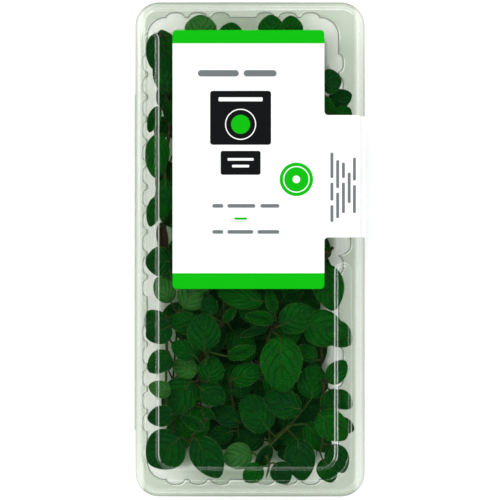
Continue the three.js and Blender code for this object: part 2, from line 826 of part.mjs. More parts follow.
// Sprigs that fill the rest, each from its cut end to its tip. The share says where the stem lies
// between what is below it and what is above it, and the size is that of its longest leaf.
const fillingSprigs = [
  { stem: [[-24, 82], [-27, 50], [-22, 4]], share: 0.05, leaves: 10, size: 20 },
  { stem: [[-2, 2], [2, 44], [-3, 84]], share: 0.05, leaves: 10, size: 20 },
  { stem: [[22, 84], [19, 50], [23, 2]], share: 0.05, leaves: 10, size: 20 },
  { stem: [[-22, -18], [-19, -50], [-23, -84]], share: 0.05, leaves: 10, size: 20 },
  { stem: [[0, -84], [2, -50], [-1, -18]], share: 0.05, leaves: 10, size: 20 },
  { stem: [[21, -18], [18, -50], [22, -84]], share: 0.05, leaves: 10, size: 20 },
  { stem: [[12, 76], [-4, 50], [8, 14]], share: 0.1, leaves: 8, size: 20 },
  { stem: [[-12, -78], [-14, -50], [-10, -14]], share: 0.1, leaves: 8, size: 20 },
  { stem: [[-30, -88], [-31, -56], [-28, -20]], share: 1, leaves: 10, size: 19 },
  { stem: [[-10, -20], [-12, -54], [-9, -86]], share: 1, leaves: 10, size: 19 },
  { stem: [[9, -86], [7, -52], [10, -20]], share: 1, leaves: 10, size: 19 },
  { stem: [[28, -20], [29, -54], [27, -86]], share: 1, leaves: 10, size: 19 },
  { stem: [[-30, 80], [-30, 40], [-30, -12]], share: 1, leaves: 12, size: 16 },
  { stem: [[27, -6], [29, 28], [28, 64]], share: 0.95, leaves: 10, size: 16 },
  { stem: [[-14, 80], [-11, 55], [-16, 28]], share: 1, leaves: 8, size: 20 },
  { stem: [[12, 22], [16, 48], [11, 76]], share: 1, leaves: 8, size: 20 },
  { stem: [[-12, 24], [-15, 2], [-10, -16]], share: 1, leaves: 6, size: 20 },
  { stem: [[14, 16], [12, -2], [16, -16]], share: 1, leaves: 6, size: 20 },
  { stem: [[-6, 70], [-2, 40], [-8, 10]], share: 1, leaves: 8, size: 20 },
  { stem: [[-2, -84], [-6, -52], [0, -18]], share: 0.9, leaves: 8, size: 18 },
  { stem: [[-24, 14], [-16, 44], [-22, 74]], share: 0.9, leaves: 8, size: 19 },
];

// The nearest place on a stem from which a stalk to the blade isn't too steep.
function nearestRoot(line, leaf) {
  let best = null;
  let least = Infinity;
  for (const place of stemPlaces(line)) {
    const apart = Math.hypot(place[0] - leaf.x, place[1] - leaf.y);
    const rise = Math.abs(place[2] - leaf.z);
    if (apart < least && rise < apart * filling.steepestStalk) {
      least = apart;
      best = place;
    }
  }
  return best;
}

// True if a round bar from one point to another stays in the free room.
function fits(from, to, radius) {
  const reach = radius + 0.2;
  return walk(from, to, 0.4).every(([x, y, z]) => {
    const cell = cellOf(x, y);
    return z + reach <= ceiling[cell] && z - reach >= ground[cell];
  });
}

// Places along a stem, half a millimetre apart.
function stemPlaces(line) {
  return line.slice(1).flatMap((point, i) => walk(line[i], point, 0.5));
}

// Places all over a blade at the height where it lies.
function bladePlaces(leaf) {
  return bladeSamples(leaf).map(([x, y, rise]) => [x, y, rise + leaf.z]);
}

function stalkEnd(leaf) {
  const [x, y, rise] = bladePoint(leaf, 0.16, 0);
  return [x, y, leaf.z + rise];
}

function sprigSolid(stem, leaves) {
  const bare = tube(stem, stemRadius, stemRadius * 0.7, 4);
  return leaves.reduce((whole, leaf) => whole.add(leafSolid(leaf)), bare);
}

// The leaves hang close under the lid, the stem lies below them and stalks join the two.
function layLidSprig({ stem, leaves }, random) {
  const hung = leaves.map(([x, y, tipX, tipY, width]) => {
    const shape = {
      pitch: 0.16 * (random() - 0.5),
      droop: -0.12 * random(),
      fold: width < 6 ? 0.7 : 0.24 * (random() - 0.7),
      roll: 0.24 * (random() - 0.5),
      stations: [0.2, 0.5, 0.8],
    };
    const angle = Math.atan2(tipY - y, tipX - x);
    const leaf = makeLeaf(x, y, angle, Math.hypot(tipX - x, tipY - y), width, shape);
    leaf.sink = 0.6 * random();
    return leaf;
  });
  const own = [];
  const kept = [];
  const before = Float64Array.from(ceiling);
  for (const leaf of hung) {
    const { low, high } = seatRange(leaf);
    if (high >= low) {
      leaf.z = Math.max(low, high - leaf.sink);
      kept.push(leaf);
      const marks = mark(bladePlaces(leaf), leaf.thick / 2);
      settle(marks, false);
      own.push(...marks);
    }
  }
  const line = stemLine(stem, 1);
  ceiling.set(before);
  const joined = kept.filter((leaf) => {
    leaf.root = nearestRoot(line, leaf);
    return leaf.root !== null && fits(leaf.root, stalkEnd(leaf), stalkRadius);
  });
  settle(own, false);
  settle(mark(stemPlaces(line), stemRadius + 0.2), false);
  for (const leaf of joined) {
    settle(mark(walk(leaf.root, stalkEnd(leaf), 0.4), stalkRadius + 0.1), false);
    cover(leaf, 0);
  }
  return sprigSolid(line, joined);
}

// One trial of a leaf that turns out from the stem at its root.
function drawLeaf(root, ahead, side, longest, random) {
  const pick = ([low, high]) => low + (high - low) * random();
  const angle = ahead + side * pick(filling.turn);
  const stalk = pick(filling.stalk);
  const length = longest * pick(filling.length);
  const shape = {
    pitch: pick(filling.pitch),
    droop: pick(filling.droop),
    fold: pick(filling.fold),
    roll: pick(filling.roll),
    stations: [0.26, 0.68],
  };
  const x = root[0] + stalk * Math.cos(angle);
  const y = root[1] + stalk * Math.sin(angle);
  const leaf = makeLeaf(x, y, angle, length, length * pick(filling.width), shape);
  leaf.root = root;
  leaf.sink = pick(filling.sink);
  return leaf;
}

// Seats a leaf close to what it lies on or hangs from. False if it finds no room there.
function seat(leaf, fromBelow) {
  const { low, high } = seatRange(leaf);
  leaf.z = fromBelow ? Math.min(low + leaf.sink, high) : Math.max(high - leaf.sink, low);
  const stalk = Math.hypot(leaf.x - leaf.root[0], leaf.y - leaf.root[1]);
  const steep = Math.abs(leaf.z - leaf.root[2]) / stalk;
  return low <= high && steep < filling.steepestStalk && fits(leaf.root, stalkEnd(leaf), stalkRadius);
}

// The stem is laid first and leaves in opposite pairs turn out from it into the free room. Of a
// leaf's trials, the one that covers most is kept.
function layFillingSprig({ stem, share, leaves, size }, random) {
  const fromBelow = share < 0.5;
  const line = stemLine(stem, share);
  const grown = [];
  for (let i = 0; i < leaves; i++) {
    const along = (Math.floor(i / 2) + 0.6) / (leaves / 2 + 0.1);
    const at = along * (line.length - 1);
    const index = Math.min(Math.floor(at), line.length - 2);
    const [from, to] = [line[index], line[index + 1]];
    const root = between(from, to, at - index);
    const ahead = Math.atan2(to[1] - from[1], to[0] - from[0]);
    let best = null;
    let most = 0;
    for (let trial = 0; trial < filling.trials; trial++) {
      const longest = size * (1 - filling.taper * along) * (1 - filling.shrink * trial);
      const leaf = drawLeaf(root, ahead, i % 2 ? 1 : -1, longest, random);
      const gain = seat(leaf, fromBelow) ? gainOf(leaf) : 0;
      if (gain > most) {
        most = gain;
        best = leaf;
      }
    }
    if (best !== null) {
      cover(best, fromBelow ? openness.underDeepLeaf : 0);
      settle(mark(bladePlaces(best), best.thick / 2), fromBelow);
      grown.push(best);
    }
  }
  for (const leaf of grown) {
    settle(mark(walk(leaf.root, stalkEnd(leaf), 0.4), stalkRadius + 0.1), fromBelow);
  }
  settle(mark(stemPlaces(line), stemRadius + 0.2), fromBelow);
  return sprigSolid(line, grown);
}

// ---------------------------------------------------------------- assembly

const plastic = new THREE.MeshStandardMaterial({
  color: colours.plastic,
  roughness: 0.08,
  metalness: 0,
  transparent: true,
  opacity: 0.3,
});
const card = new THREE.MeshStandardMaterial({ color: colours.label, roughness: 0.6, metalness: 0 });
const herb = new THREE.MeshStandardMaterial({ color: colours.leaf, roughness: 0.55, metalness: 0 });

const punnet = new THREE.Group();
punnet.add(toMesh('tray', makeTray(), plastic));
punnet.add(toMesh('lid', makeLid(), plastic));
punnet.add(toMesh('hinge', makeHinge(), plastic));
punnet.add(toMesh('label', makeLabel(), card));
punnet.add(toMesh('seal', makeSeal(), card));

const random = seededRandom(46);
const sprigs = [
  ...lidSprigs.map((sprig) => layLidSprig(sprig, random)),
  ...fillingSprigs.map((sprig) => layFillingSprig(sprig, random)),
];
sprigs.forEach((body, i) => {
  punnet.add(toMesh(`sprig_${String(i + 1).padStart(2, '0')}`, body, herb));
});

export default punnet;
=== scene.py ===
import math

import bmesh
import bpy
from mathutils import Matrix, Vector
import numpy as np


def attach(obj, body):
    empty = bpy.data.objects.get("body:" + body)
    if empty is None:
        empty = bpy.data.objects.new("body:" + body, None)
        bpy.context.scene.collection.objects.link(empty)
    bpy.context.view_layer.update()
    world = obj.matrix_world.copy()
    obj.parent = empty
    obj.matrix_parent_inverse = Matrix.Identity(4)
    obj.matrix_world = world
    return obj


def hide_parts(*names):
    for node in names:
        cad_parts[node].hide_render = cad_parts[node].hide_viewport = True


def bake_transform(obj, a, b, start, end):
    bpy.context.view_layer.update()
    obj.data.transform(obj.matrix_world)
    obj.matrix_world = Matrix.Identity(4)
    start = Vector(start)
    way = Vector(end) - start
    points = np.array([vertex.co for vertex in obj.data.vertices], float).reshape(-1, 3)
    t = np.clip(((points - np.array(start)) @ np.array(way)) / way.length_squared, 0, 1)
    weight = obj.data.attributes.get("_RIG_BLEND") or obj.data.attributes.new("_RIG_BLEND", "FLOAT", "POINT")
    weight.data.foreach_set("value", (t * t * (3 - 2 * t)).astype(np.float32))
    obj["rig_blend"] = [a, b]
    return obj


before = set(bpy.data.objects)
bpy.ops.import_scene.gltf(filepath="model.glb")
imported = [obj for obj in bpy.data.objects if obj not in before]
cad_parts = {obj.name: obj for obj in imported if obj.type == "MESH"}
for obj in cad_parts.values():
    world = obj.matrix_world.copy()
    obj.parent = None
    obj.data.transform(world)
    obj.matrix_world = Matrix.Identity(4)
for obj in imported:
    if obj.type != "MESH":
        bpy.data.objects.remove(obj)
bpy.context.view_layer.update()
scene = bpy.context.scene
mm = 0.001

# The camera looks straight down on the closed punnet, with its far end at the top of the picture.
view = {
    "height": 0.78, "planeZ": 0.022, "across": 0.202, "centreX": 0.00026, "centreY": -0.00024,
    "sensor": 36, "nearest": 0.01, "farthest": 40,
}


def placeCamera():
    lens = bpy.data.cameras.new("camera")
    lens.sensor_width = view["sensor"]
    lens.lens = view["sensor"] * view["height"] / view["across"]
    lens.clip_start = view["nearest"]
    lens.clip_end = view["farthest"]
    camera = bpy.data.objects.new("camera", lens)
    camera.location = (view["centreX"], view["centreY"], view["planeZ"] + view["height"])
    scene.collection.objects.link(camera)
    scene.camera = camera


placeCamera()
print("camera placed")


# Shapes are worked out in millimetres and brought to metres when a piece is made.
def makePiece(name, bm, materials):
    bmesh.ops.scale(bm, vec=(mm, mm, mm), verts=bm.verts)
    mesh = bpy.data.meshes.new(name)
    bm.to_mesh(mesh)
    bm.free()
    for material in materials:
        mesh.materials.append(material)
    piece = bpy.data.objects.new(name, mesh)
    scene.collection.objects.link(piece)
    return piece


# Gives a sheet its thickness, along its faces' normals or against them.
def thicken(piece, thickness, offset, backMaterial=0, even=True):
    wall = piece.modifiers.new("thickness", "SOLIDIFY")
    wall.thickness = thickness * mm
    wall.offset = offset
    wall.use_even_offset = even
    wall.material_offset = backMaterial
    graph = bpy.context.evaluated_depsgraph_get()
    mesh = bpy.data.meshes.new_from_object(piece.evaluated_get(graph))
    piece.modifiers.clear()
    piece.data = mesh


# Shades a piece smoothly, apart from edges that are bent by more than the given degrees.
def smoothShade(piece, sharpFrom=50):
    piece.data.shade_smooth()
    piece.data.set_sharp_from_angle(angle=math.radians(sharpFrom))


# Each corner of a loop carries its place in the loop, so that the next loop finds it, and how
# sharply the sheet is bent there: above 0 the bend scatters light, below 0 a dark tint is painted
# there, painted shade for the bend's dark outline.
def startLoop(bm, points, closed=True, crease=0.0):
    place = bm.verts.layers.int.verify()
    creases = bm.verts.layers.float.get("crease") or bm.verts.layers.float.new("crease")
    corners = [bm.verts.new(point) for point in points]
    for index, corner in enumerate(corners):
        corner[place] = index
        corner[creases] = crease
    pairs = list(zip(corners, corners[1:])) + ([(corners[-1], corners[0])] if closed else [])
    return [bm.edges.new(pair) for pair in pairs]


# Draws a loop on to the points of the next one.
def nextLoop(bm, edges, points, crease=0.0):
    place = bm.verts.layers.int.verify()
    creases = bm.verts.layers.float["crease"]
    made = bmesh.ops.extrude_edge_only(bm, edges=edges)["geom"]
    corners = {item for item in made if isinstance(item, bmesh.types.BMVert)}
    for corner in corners:
        corner.co = points[corner[place]]
        corner[creases] = crease
    rails = [item for item in made if isinstance(item, bmesh.types.BMEdge)]
    return [edge for edge in rails if corners.issuperset(edge.verts)]


def fillFlat(bm, edges):
    return bmesh.ops.triangle_fill(bm, use_beauty=True, edges=edges)["geom"]


# Turns all faces alike, and so that the ones that lie flat look up or down as asked.
def faceUp(bm, up):
    bmesh.ops.recalc_face_normals(bm, faces=bm.faces)
    flat = max(bm.faces, key=lambda face: face.calc_area() * abs(face.normal.z))
    if (flat.normal.z > 0) != up:
        bmesh.ops.reverse_faces(bm, faces=bm.faces)


def arcPoints(x, y, radius, start, turn, steps, z):
    angles = [start + turn * i / steps for i in range(steps + 1)]
    return [Vector((x + radius * math.cos(a), y + radius * math.sin(a), z)) for a in angles]


# A rounded rectangle, anticlockwise from above.
def roundedLoop(left, right, front, back, corner, z, steps):
    quarter = math.pi / 2
    return (
        arcPoints(right - corner, front + corner, corner, -quarter, quarter, steps, z)
        + arcPoints(right - corner, back - corner, corner, 0, quarter, steps, z)
        + arcPoints(left + corner, back - corner, corner, quarter, quarter, steps, z)
        + arcPoints(left + corner, front + corner, corner, math.pi, quarter, steps, z)
    )


# Node helpers: an input is a fixed value or another node's output.
def put(tree, kind, inputs, **settings):
    made = tree.nodes.new(kind)
    for key, value in settings.items():
        setattr(made, key, value)
    for key, value in inputs.items():
        if isinstance(value, bpy.types.NodeSocket):
            tree.links.new(value, made.inputs[key])
        else:
            made.inputs[key].default_value = value
    return made


def calc(tree, operation, *values, clamp=False):
    inputs = dict(enumerate(values))
    return put(tree, "ShaderNodeMath", inputs, operation=operation, use_clamp=clamp).outputs[0]


def times(tree, first, second):
    return calc(tree, "MULTIPLY", first, second)


def calcVector(tree, operation, *values):
    made = put(tree, "ShaderNodeVectorMath", dict(enumerate(values)), operation=operation)
    return made.outputs[1 if operation == "LENGTH" else 0]


def mixColour(tree, share, first, second, how="MIX"):
    inputs = {0: share, 6: first, 7: second}
    return put(tree, "ShaderNodeMix", inputs, data_type="RGBA", blend_type=how).outputs[2]


def spread(tree, value, fromLow, fromHigh, toLow=0.0, toHigh=1.0, smooth=False):
    kind = "SMOOTHSTEP" if smooth else "LINEAR"
    inputs = {0: value, 1: fromLow, 2: fromHigh, 3: toLow, 4: toHigh}
    return put(tree, "ShaderNodeMapRange", inputs, interpolation_type=kind).outputs[0]


def noise(tree, place, scale, detail=3.0, roughness=0.5):
    inputs = {"Vector": place, "Scale": scale, "Detail": detail, "Roughness": roughness}
    return put(tree, "ShaderNodeTexNoise", inputs).outputs["Fac"]


# A value that the mesh carries at each corner.
def carried(tree, name):
    return put(tree, "ShaderNodeAttribute", {}, attribute_name=name).outputs["Fac"]


def relief(tree, strength, depth, height):
    return put(tree, "ShaderNodeBump", {"Strength": strength, "Distance": depth, "Height": height}).outputs[0]


# A new material, its nodes, and the place on the piece that its pattern is read from.
def startMaterial(name):
    material = bpy.data.materials.new(name)
    material.use_nodes = True
    tree = material.node_tree
    tree.nodes.clear()
    return material, tree, put(tree, "ShaderNodeTexCoord", {}).outputs["Object"]


def setSurface(tree, shader):
    put(tree, "ShaderNodeOutputMaterial", {"Surface": shader.outputs[0]})


# An opaque surface with its colour, roughness, mirroring and whatever else is given.
def setSkin(tree, colour, roughness, mirror, more):
    inputs = {"Base Color": colour, "Roughness": roughness, "Specular IOR Level": mirror, **more}
    setSurface(tree, put(tree, "ShaderNodeBsdfPrincipled", inputs))


# A node group. Its inputs come with their kinds, and its outputs are all plain values.
def startGroup(name, inputs, outputs):
    tree = bpy.data.node_groups.new(name, "ShaderNodeTree")
    for label, kind in inputs.items():
        tree.interface.new_socket(label, in_out="INPUT", socket_type=kind)
    for label in outputs:
        tree.interface.new_socket(label, in_out="OUTPUT", socket_type="NodeSocketFloat")
    return tree, tree.nodes.new("NodeGroupInput").outputs


# A colour as it is read off a swatch, from 0 to 255.
def swatch(red, green, blue):
    parts = [channel / 255 for channel in (red, green, blue)]
    linear = [part / 12.92 if part <= 0.04045 else ((part + 0.055) / 1.055) ** 2.4 for part in parts]
    return (*linear, 1)


# Faint waves left by forming, fine grain and smudges, for sheet plastic and paper.
def sheetWearGroup():
    settings = {
        "waveDetail": 2.0, "grainDetail": 4.0, "grainRoughness": 0.6,
        "smudge": (45.0, 5.0, 0.65), "smudgeEdge": (0.45, 0.75),
    }
    inputs = {"Place": "NodeSocketVector", "Wave Scale": "NodeSocketFloat", "Grain Scale": "NodeSocketFloat"}
    tree, given = startGroup("sheetWear", inputs, ("Waves", "Grain", "Smudge"))
    place = given["Place"]
    waves = noise(tree, place, given["Wave Scale"], settings["waveDetail"])
    grain = noise(tree, place, given["Grain Scale"], settings["grainDetail"], settings["grainRoughness"])
    smudge = spread(tree, noise(tree, place, *settings["smudge"]), *settings["smudgeEdge"], smooth=True)
    put(tree, "NodeGroupOutput", {"Waves": waves, "Grain": grain, "Smudge": smudge})
    return tree


# Midrib, side veins and fine net of a leaf, read from its own map: U runs along it and V across.
def leafVeinGroup():
    settings = {
        "ribWidth": 0.055, "ribEnd": 1.12,
        "pairs": 6.2, "sweep": 0.36, "bow": 1.35, "wanderScale": 4.0, "wander": 0.1,
        "sideWidth": 0.11, "sideEnd": 1.15, "fadeIn": (0.0, 0.08), "fadeOut": (0.72, 0.6),
        "netScale": 15.0, "netWidth": 0.09, "rim": (0.93, 0.99), "pillowEdge": (0.0, 0.25),
    }
    labels = ("Along", "Rib", "Side", "Net", "Rim", "Pillow")
    tree, given = startGroup("leafVeins", {"Leaf Map": "NodeSocketVector"}, labels)
    leafMap = given["Leaf Map"]
    parts = put(tree, "ShaderNodeSeparateXYZ", {0: leafMap}).outputs
    along = parts["X"]
    across = calc(tree, "ABSOLUTE", calc(tree, "MULTIPLY_ADD", parts["Y"], 2.0, -1.0))

    # A vein of the given width that narrows towards its end.
    def vein(away, run, end, width):
        taper = times(tree, calc(tree, "SUBTRACT", end, run), width)
        return calc(tree, "SUBTRACT", 1.0, calc(tree, "DIVIDE", away, taper), clamp=True)

    rib = vein(across, along, settings["ribEnd"], settings["ribWidth"])
    wander = times(tree, noise(tree, leafMap, settings["wanderScale"], 2.0), settings["wander"])
    bow = times(tree, calc(tree, "POWER", across, settings["bow"]), settings["sweep"])
    start = calc(tree, "ADD", calc(tree, "SUBTRACT", along, bow), wander)
    step = calc(tree, "FRACT", times(tree, start, settings["pairs"]))
    apart = calc(tree, "ABSOLUTE", calc(tree, "SUBTRACT", step, 0.5))
    side = vein(apart, across, settings["sideEnd"], settings["sideWidth"])
    inBlade = times(tree, spread(tree, start, *settings["fadeIn"]), spread(tree, start, *settings["fadeOut"]))
    inputs = {"Vector": leafMap, "Scale": settings["netScale"]}
    mesh = put(tree, "ShaderNodeTexVoronoi", inputs, feature="DISTANCE_TO_EDGE").outputs["Distance"]
    swell = calc(tree, "SINE", times(tree, apart, math.pi))
    put(tree, "NodeGroupOutput", {
        "Along": along,
        "Rib": rib,
        "Side": times(tree, side, inBlade),
        "Net": spread(tree, mesh, 0.0, settings["netWidth"], 1.0, 0.0),
        "Rim": spread(tree, across, *settings["rim"]),
        "Pillow": times(tree, swell, spread(tree, across, *settings["pillowEdge"], smooth=True)),
    })
    return tree


sheetWear = sheetWearGroup()
leafVeins = leafVeinGroup()


def wearOf(tree, place, waves, grain):
    inputs = {"Place": place, "Wave Scale": waves, "Grain Scale": grain}
    return put(tree, "ShaderNodeGroup", inputs, node_tree=sheetWear).outputs


# Thin clear sheet: light passes straight through with a faint tint, and more is mirrored at a slant.
# The tray's tint is deeper than the lid's: partly the sheet's own tint and partly painted shade for the
# shaded floor seen through it. The painted shade is weaker along its long sides and on its walls, and
# deepest in the middle of the end walls. Places are in metres, and a pair of them is where an edge
# starts and ends.
def clearSheetMaterial():
    settings = {
        "tint": (0.972, 0.98, 0.966, 1), "trayTintAndShade": (0.72, 0.762, 0.7, 1), "trayTop": (0.0221, 0.022),
        "sides": (0.0418, 0.0438), "sideShare": 0.3,
        "wallFoot": (0.001, 0.003), "wallHead": (0.0212, 0.0206), "wallShare": 0.25,
        "endWallShade": (0.66, 0.72, 0.64, 1), "ends": (0.0885, 0.0915), "endMiddle": (0.034, 0.01),
        "waves": 30.0, "grain": 900.0, "waveRelief": (0.2, 0.0004), "smudgeTint": 0.85,
        "mirror": (0.98, 1.0, 0.99, 1), "roughness": (0.03, 0.08),
        "straight": 0.025, "grazing": 0.35, "steepness": 5.0,
        "paintedBendShade": (0.3, 0.32, 0.3, 1), "scatter": 0.55, "scatterRoughness": 0.42,
    }
    material, tree, place = startMaterial("clearSheet")
    parts = put(tree, "ShaderNodeSeparateXYZ", {0: place}).outputs
    height = parts["Z"]
    sideways = calc(tree, "ABSOLUTE", parts["X"])
    lengthways = calc(tree, "ABSOLUTE", parts["Y"])
    crease = carried(tree, "crease")
    bright = calc(tree, "MAXIMUM", crease, 0.0)
    dark = calc(tree, "MAXIMUM", times(tree, crease, -1.0), 0.0)
    wear = wearOf(tree, place, settings["waves"], settings["grain"])
    overFoot = spread(tree, height, *settings["wallFoot"])
    wall = times(tree, overFoot, spread(tree, height, *settings["wallHead"]))
    onWall = spread(tree, wall, 0.0, 1.0, 1.0, settings["wallShare"])
    inTray = times(tree, spread(tree, height, *settings["trayTop"]), onWall)
    smudged = spread(tree, wear["Smudge"], 0.0, 1.0, settings["smudgeTint"], 1.0)
    onSides = spread(tree, sideways, *settings["sides"], 1.0, settings["sideShare"], smooth=True)
    share = times(tree, inTray, times(tree, smudged, onSides))
    # The tray's deeper tint: partly its own tint and partly painted shade.
    tint = mixColour(tree, share, settings["tint"], settings["trayTintAndShade"])
    endWall = times(tree, wall, spread(tree, lengthways, *settings["ends"]))
    endWall = times(tree, endWall, spread(tree, sideways, *settings["endMiddle"], smooth=True))
    # Painted shade, darker still, in the middle of the end walls.
    tint = mixColour(tree, endWall, tint, settings["endWallShade"])
    # Negative creases mix in a dark tint: painted shade along the bends.
    tint = mixColour(tree, dark, tint, settings["paintedBendShade"])
    through = put(tree, "ShaderNodeBsdfTransparent", {"Color": tint})
    normal = relief(tree, *settings["waveRelief"], wear["Waves"])
    roughness = spread(tree, wear["Smudge"], 0.0, 1.0, *settings["roughness"])
    roughness = calc(tree, "MAXIMUM", roughness, times(tree, bright, settings["scatterRoughness"]))
    inputs = {"Color": settings["mirror"], "Roughness": roughness, "Normal": normal}
    gloss = put(tree, "ShaderNodeBsdfAnisotropic", inputs)
    slant = put(tree, "ShaderNodeLayerWeight", {"Blend": 0.5, "Normal": normal}).outputs["Facing"]
    slant = calc(tree, "POWER", slant, settings["steepness"])
    least = settings["straight"]
    share = calc(tree, "MULTIPLY_ADD", slant, settings["grazing"] - least, least)
    share = calc(tree, "MAXIMUM", share, times(tree, bright, settings["scatter"]))
    setSurface(tree, put(tree, "ShaderNodeMixShader", {0: share, 1: through.outputs[0], 2: gloss.outputs[0]}))
    return material


# The fibre, soft gloss and faint waves of coated paper, over its colour.
def finishPaper(tree, place, colour):
    settings = {
        "waves": 60.0, "grain": 2600.0, "fibre": 0.955, "waveShare": 0.6, "relief": (0.12, 0.00008),
        "roughness": (0.5, 0.62), "mirror": 0.06,
    }
    wear = wearOf(tree, place, settings["waves"], settings["grain"])
    fibre = spread(tree, wear["Grain"], 0.0, 1.0, settings["fibre"], 1.0)
    colour = mixColour(tree, 1.0, colour, fibre, "MULTIPLY")
    height = calc(tree, "ADD", times(tree, wear["Waves"], settings["waveShare"]), wear["Grain"])
    normal = relief(tree, *settings["relief"], height)
    roughness = spread(tree, wear["Smudge"], 0.0, 1.0, *settings["roughness"])
    setSkin(tree, colour, roughness, settings["mirror"], {"Normal": normal})


# The label's print: plain bands, panels, bars and dots, in millimetres on the label. Each mark has its
# middle's X and Y, half its width, half its height and the radius of its corners.
printed = {
    "paper": swatch(250, 251, 250), "green": swatch(6, 182, 8), "panel": swatch(11, 13, 15),
    "grey": swatch(112, 118, 120), "soft": 0.12, "keyline": 0.28,
    "greens": [
        (0, 86, 40, 3.65, 1), (0, -13.4, 40, 3.9, 1), (18.8, 28, 6.7, 6.7, 6.7),
        (-3.5, 12.3, 2.6, 0.45, 0.45),
    ],
    "panels": [(-3.5, 52.6, 12.2, 10.8, 1.2), (-3.5, 34.6, 8, 4.8, 0.9)],
    "keylines": [(18.8, 28, 5.1, 5.1, 5.1), (-3.5, 50, 6, 6, 6)],
    "whites": [
        (-3.5, 60, 8.8, 0.8, 0.4), (-3.5, 36, 5.2, 0.5, 0.3), (-3.5, 33.3, 3.4, 0.5, 0.3),
        (18.8, 28, 1.5, 1.5, 1.5),
    ],
    "dots": [(-3.5, 50, 3.8, 3.8, 3.8)],
    "greys": [
        (-12.4, 70.4, 8.2, 1.3, 1.3), (4.3, 70.4, 6.6, 1.3, 1.3), (-12.6, 17.4, 2.2, 0.75, 0.75),
        (-3.2, 17.4, 5.6, 0.75, 0.75), (8.2, 17.4, 3.8, 0.75, 0.75), (-12.6, 7, 2.2, 0.75, 0.75),
        (-3.6, 7, 5.2, 0.75, 0.75), (7.6, 7, 4.4, 0.75, 0.75),
    ],
    # Rows of thin bars along the tail: each row's X and the Ys that its bars lie between.
    "rows": [
        (33, (9.5, 18, 27, 39)), (35.3, (11, 23, 36)), (37.6, (13, 27, 35)), (39.9, (17, 31)),
        (42, (13, 26, 37)),
    ],
    "rowHalf": 0.6, "rowCorner": 0.5, "rowGap": 0.9, "rowShift": 0.6,
}


def labelPaperMaterial():
    material, tree, place = startMaterial("labelPaper")
    flat = calcVector(tree, "MULTIPLY", place, (1 / mm, 1 / mm, 0))
    soft = printed["soft"]
    bars = []
    for x, ends in printed["rows"]:
        for low, high in zip(ends, ends[1:]):
            middle = (low + high) / 2 + printed["rowShift"]
            half = (high - low) / 2 - printed["rowGap"]
            bars.append((x, middle, printed["rowHalf"], half, printed["rowCorner"]))

    # How far a place lies outside a mark's edge.
    def outside(x, y, halfX, halfY, corner):
        away = calcVector(tree, "ABSOLUTE", calcVector(tree, "SUBTRACT", flat, (x, y, 0)))
        past = calcVector(tree, "SUBTRACT", away, (halfX - corner, halfY - corner, 0))
        past = calcVector(tree, "MAXIMUM", past, (0, 0, 0))
        return calc(tree, "SUBTRACT", calcVector(tree, "LENGTH", past), corner)

    def leastOf(distances):
        least = distances[0]
        for distance in distances[1:]:
            least = calc(tree, "MINIMUM", least, distance)
        return least

    def inked(marks):
        return spread(tree, leastOf([outside(*mark) for mark in marks]), -soft / 2, soft / 2, 1.0, 0.0)

    def outlined(marks, width):
        least = leastOf([calc(tree, "ABSOLUTE", outside(*mark)) for mark in marks])
        return spread(tree, least, width / 2, width / 2 + soft, 1.0, 0.0)

    colour = mixColour(tree, inked(printed["greys"] + bars), printed["paper"], printed["grey"])
    colour = mixColour(tree, inked(printed["greens"]), colour, printed["green"])
    colour = mixColour(tree, inked(printed["panels"]), colour, printed["panel"])
    colour = mixColour(tree, outlined(printed["keylines"], printed["keyline"]), colour, printed["paper"])
    colour = mixColour(tree, inked(printed["whites"]), colour, printed["paper"])
    colour = mixColour(tree, inked(printed["dots"]), colour, printed["green"])
    finishPaper(tree, place, colour)
    return material


# The label's back, and the end of its tail that is stuck to the tray, have no print.
def plainPaperMaterial():
    material, tree, place = startMaterial("plainPaper")
    finishPaper(tree, place, swatch(238, 240, 236))
    return material


# What both sides of the leaves have in common. A dried blade has the tone dryTone, the others have
# one from 0 to 1.
leafSkin = {
    "mottle": (170.0, 5.0, 0.65), "mottleEdge": (0.3, 0.7), "toneShift": 0.2,
    "veinEdge": (0.35, 0.65), "netShare": 0.35, "paleRib": (0.15, 0.75), "rimShare": 0.4,
    "dryTone": -1.0, "dryEdge": (-0.4, -0.6), "dry": swatch(52, 42, 28),
    "dotScale": 1500.0, "dotEdge": (0.28, 0.06), "dotted": (0.45, 0.95), "dot": swatch(150, 176, 150),
    "netRelief": 0.25, "pillowRelief": -1.3, "grain": 1100.0, "grainRelief": 0.3, "relief": (1.0, 0.00035),
    "roughness": (0.42, 0.62), "mirror": 0.05,
}
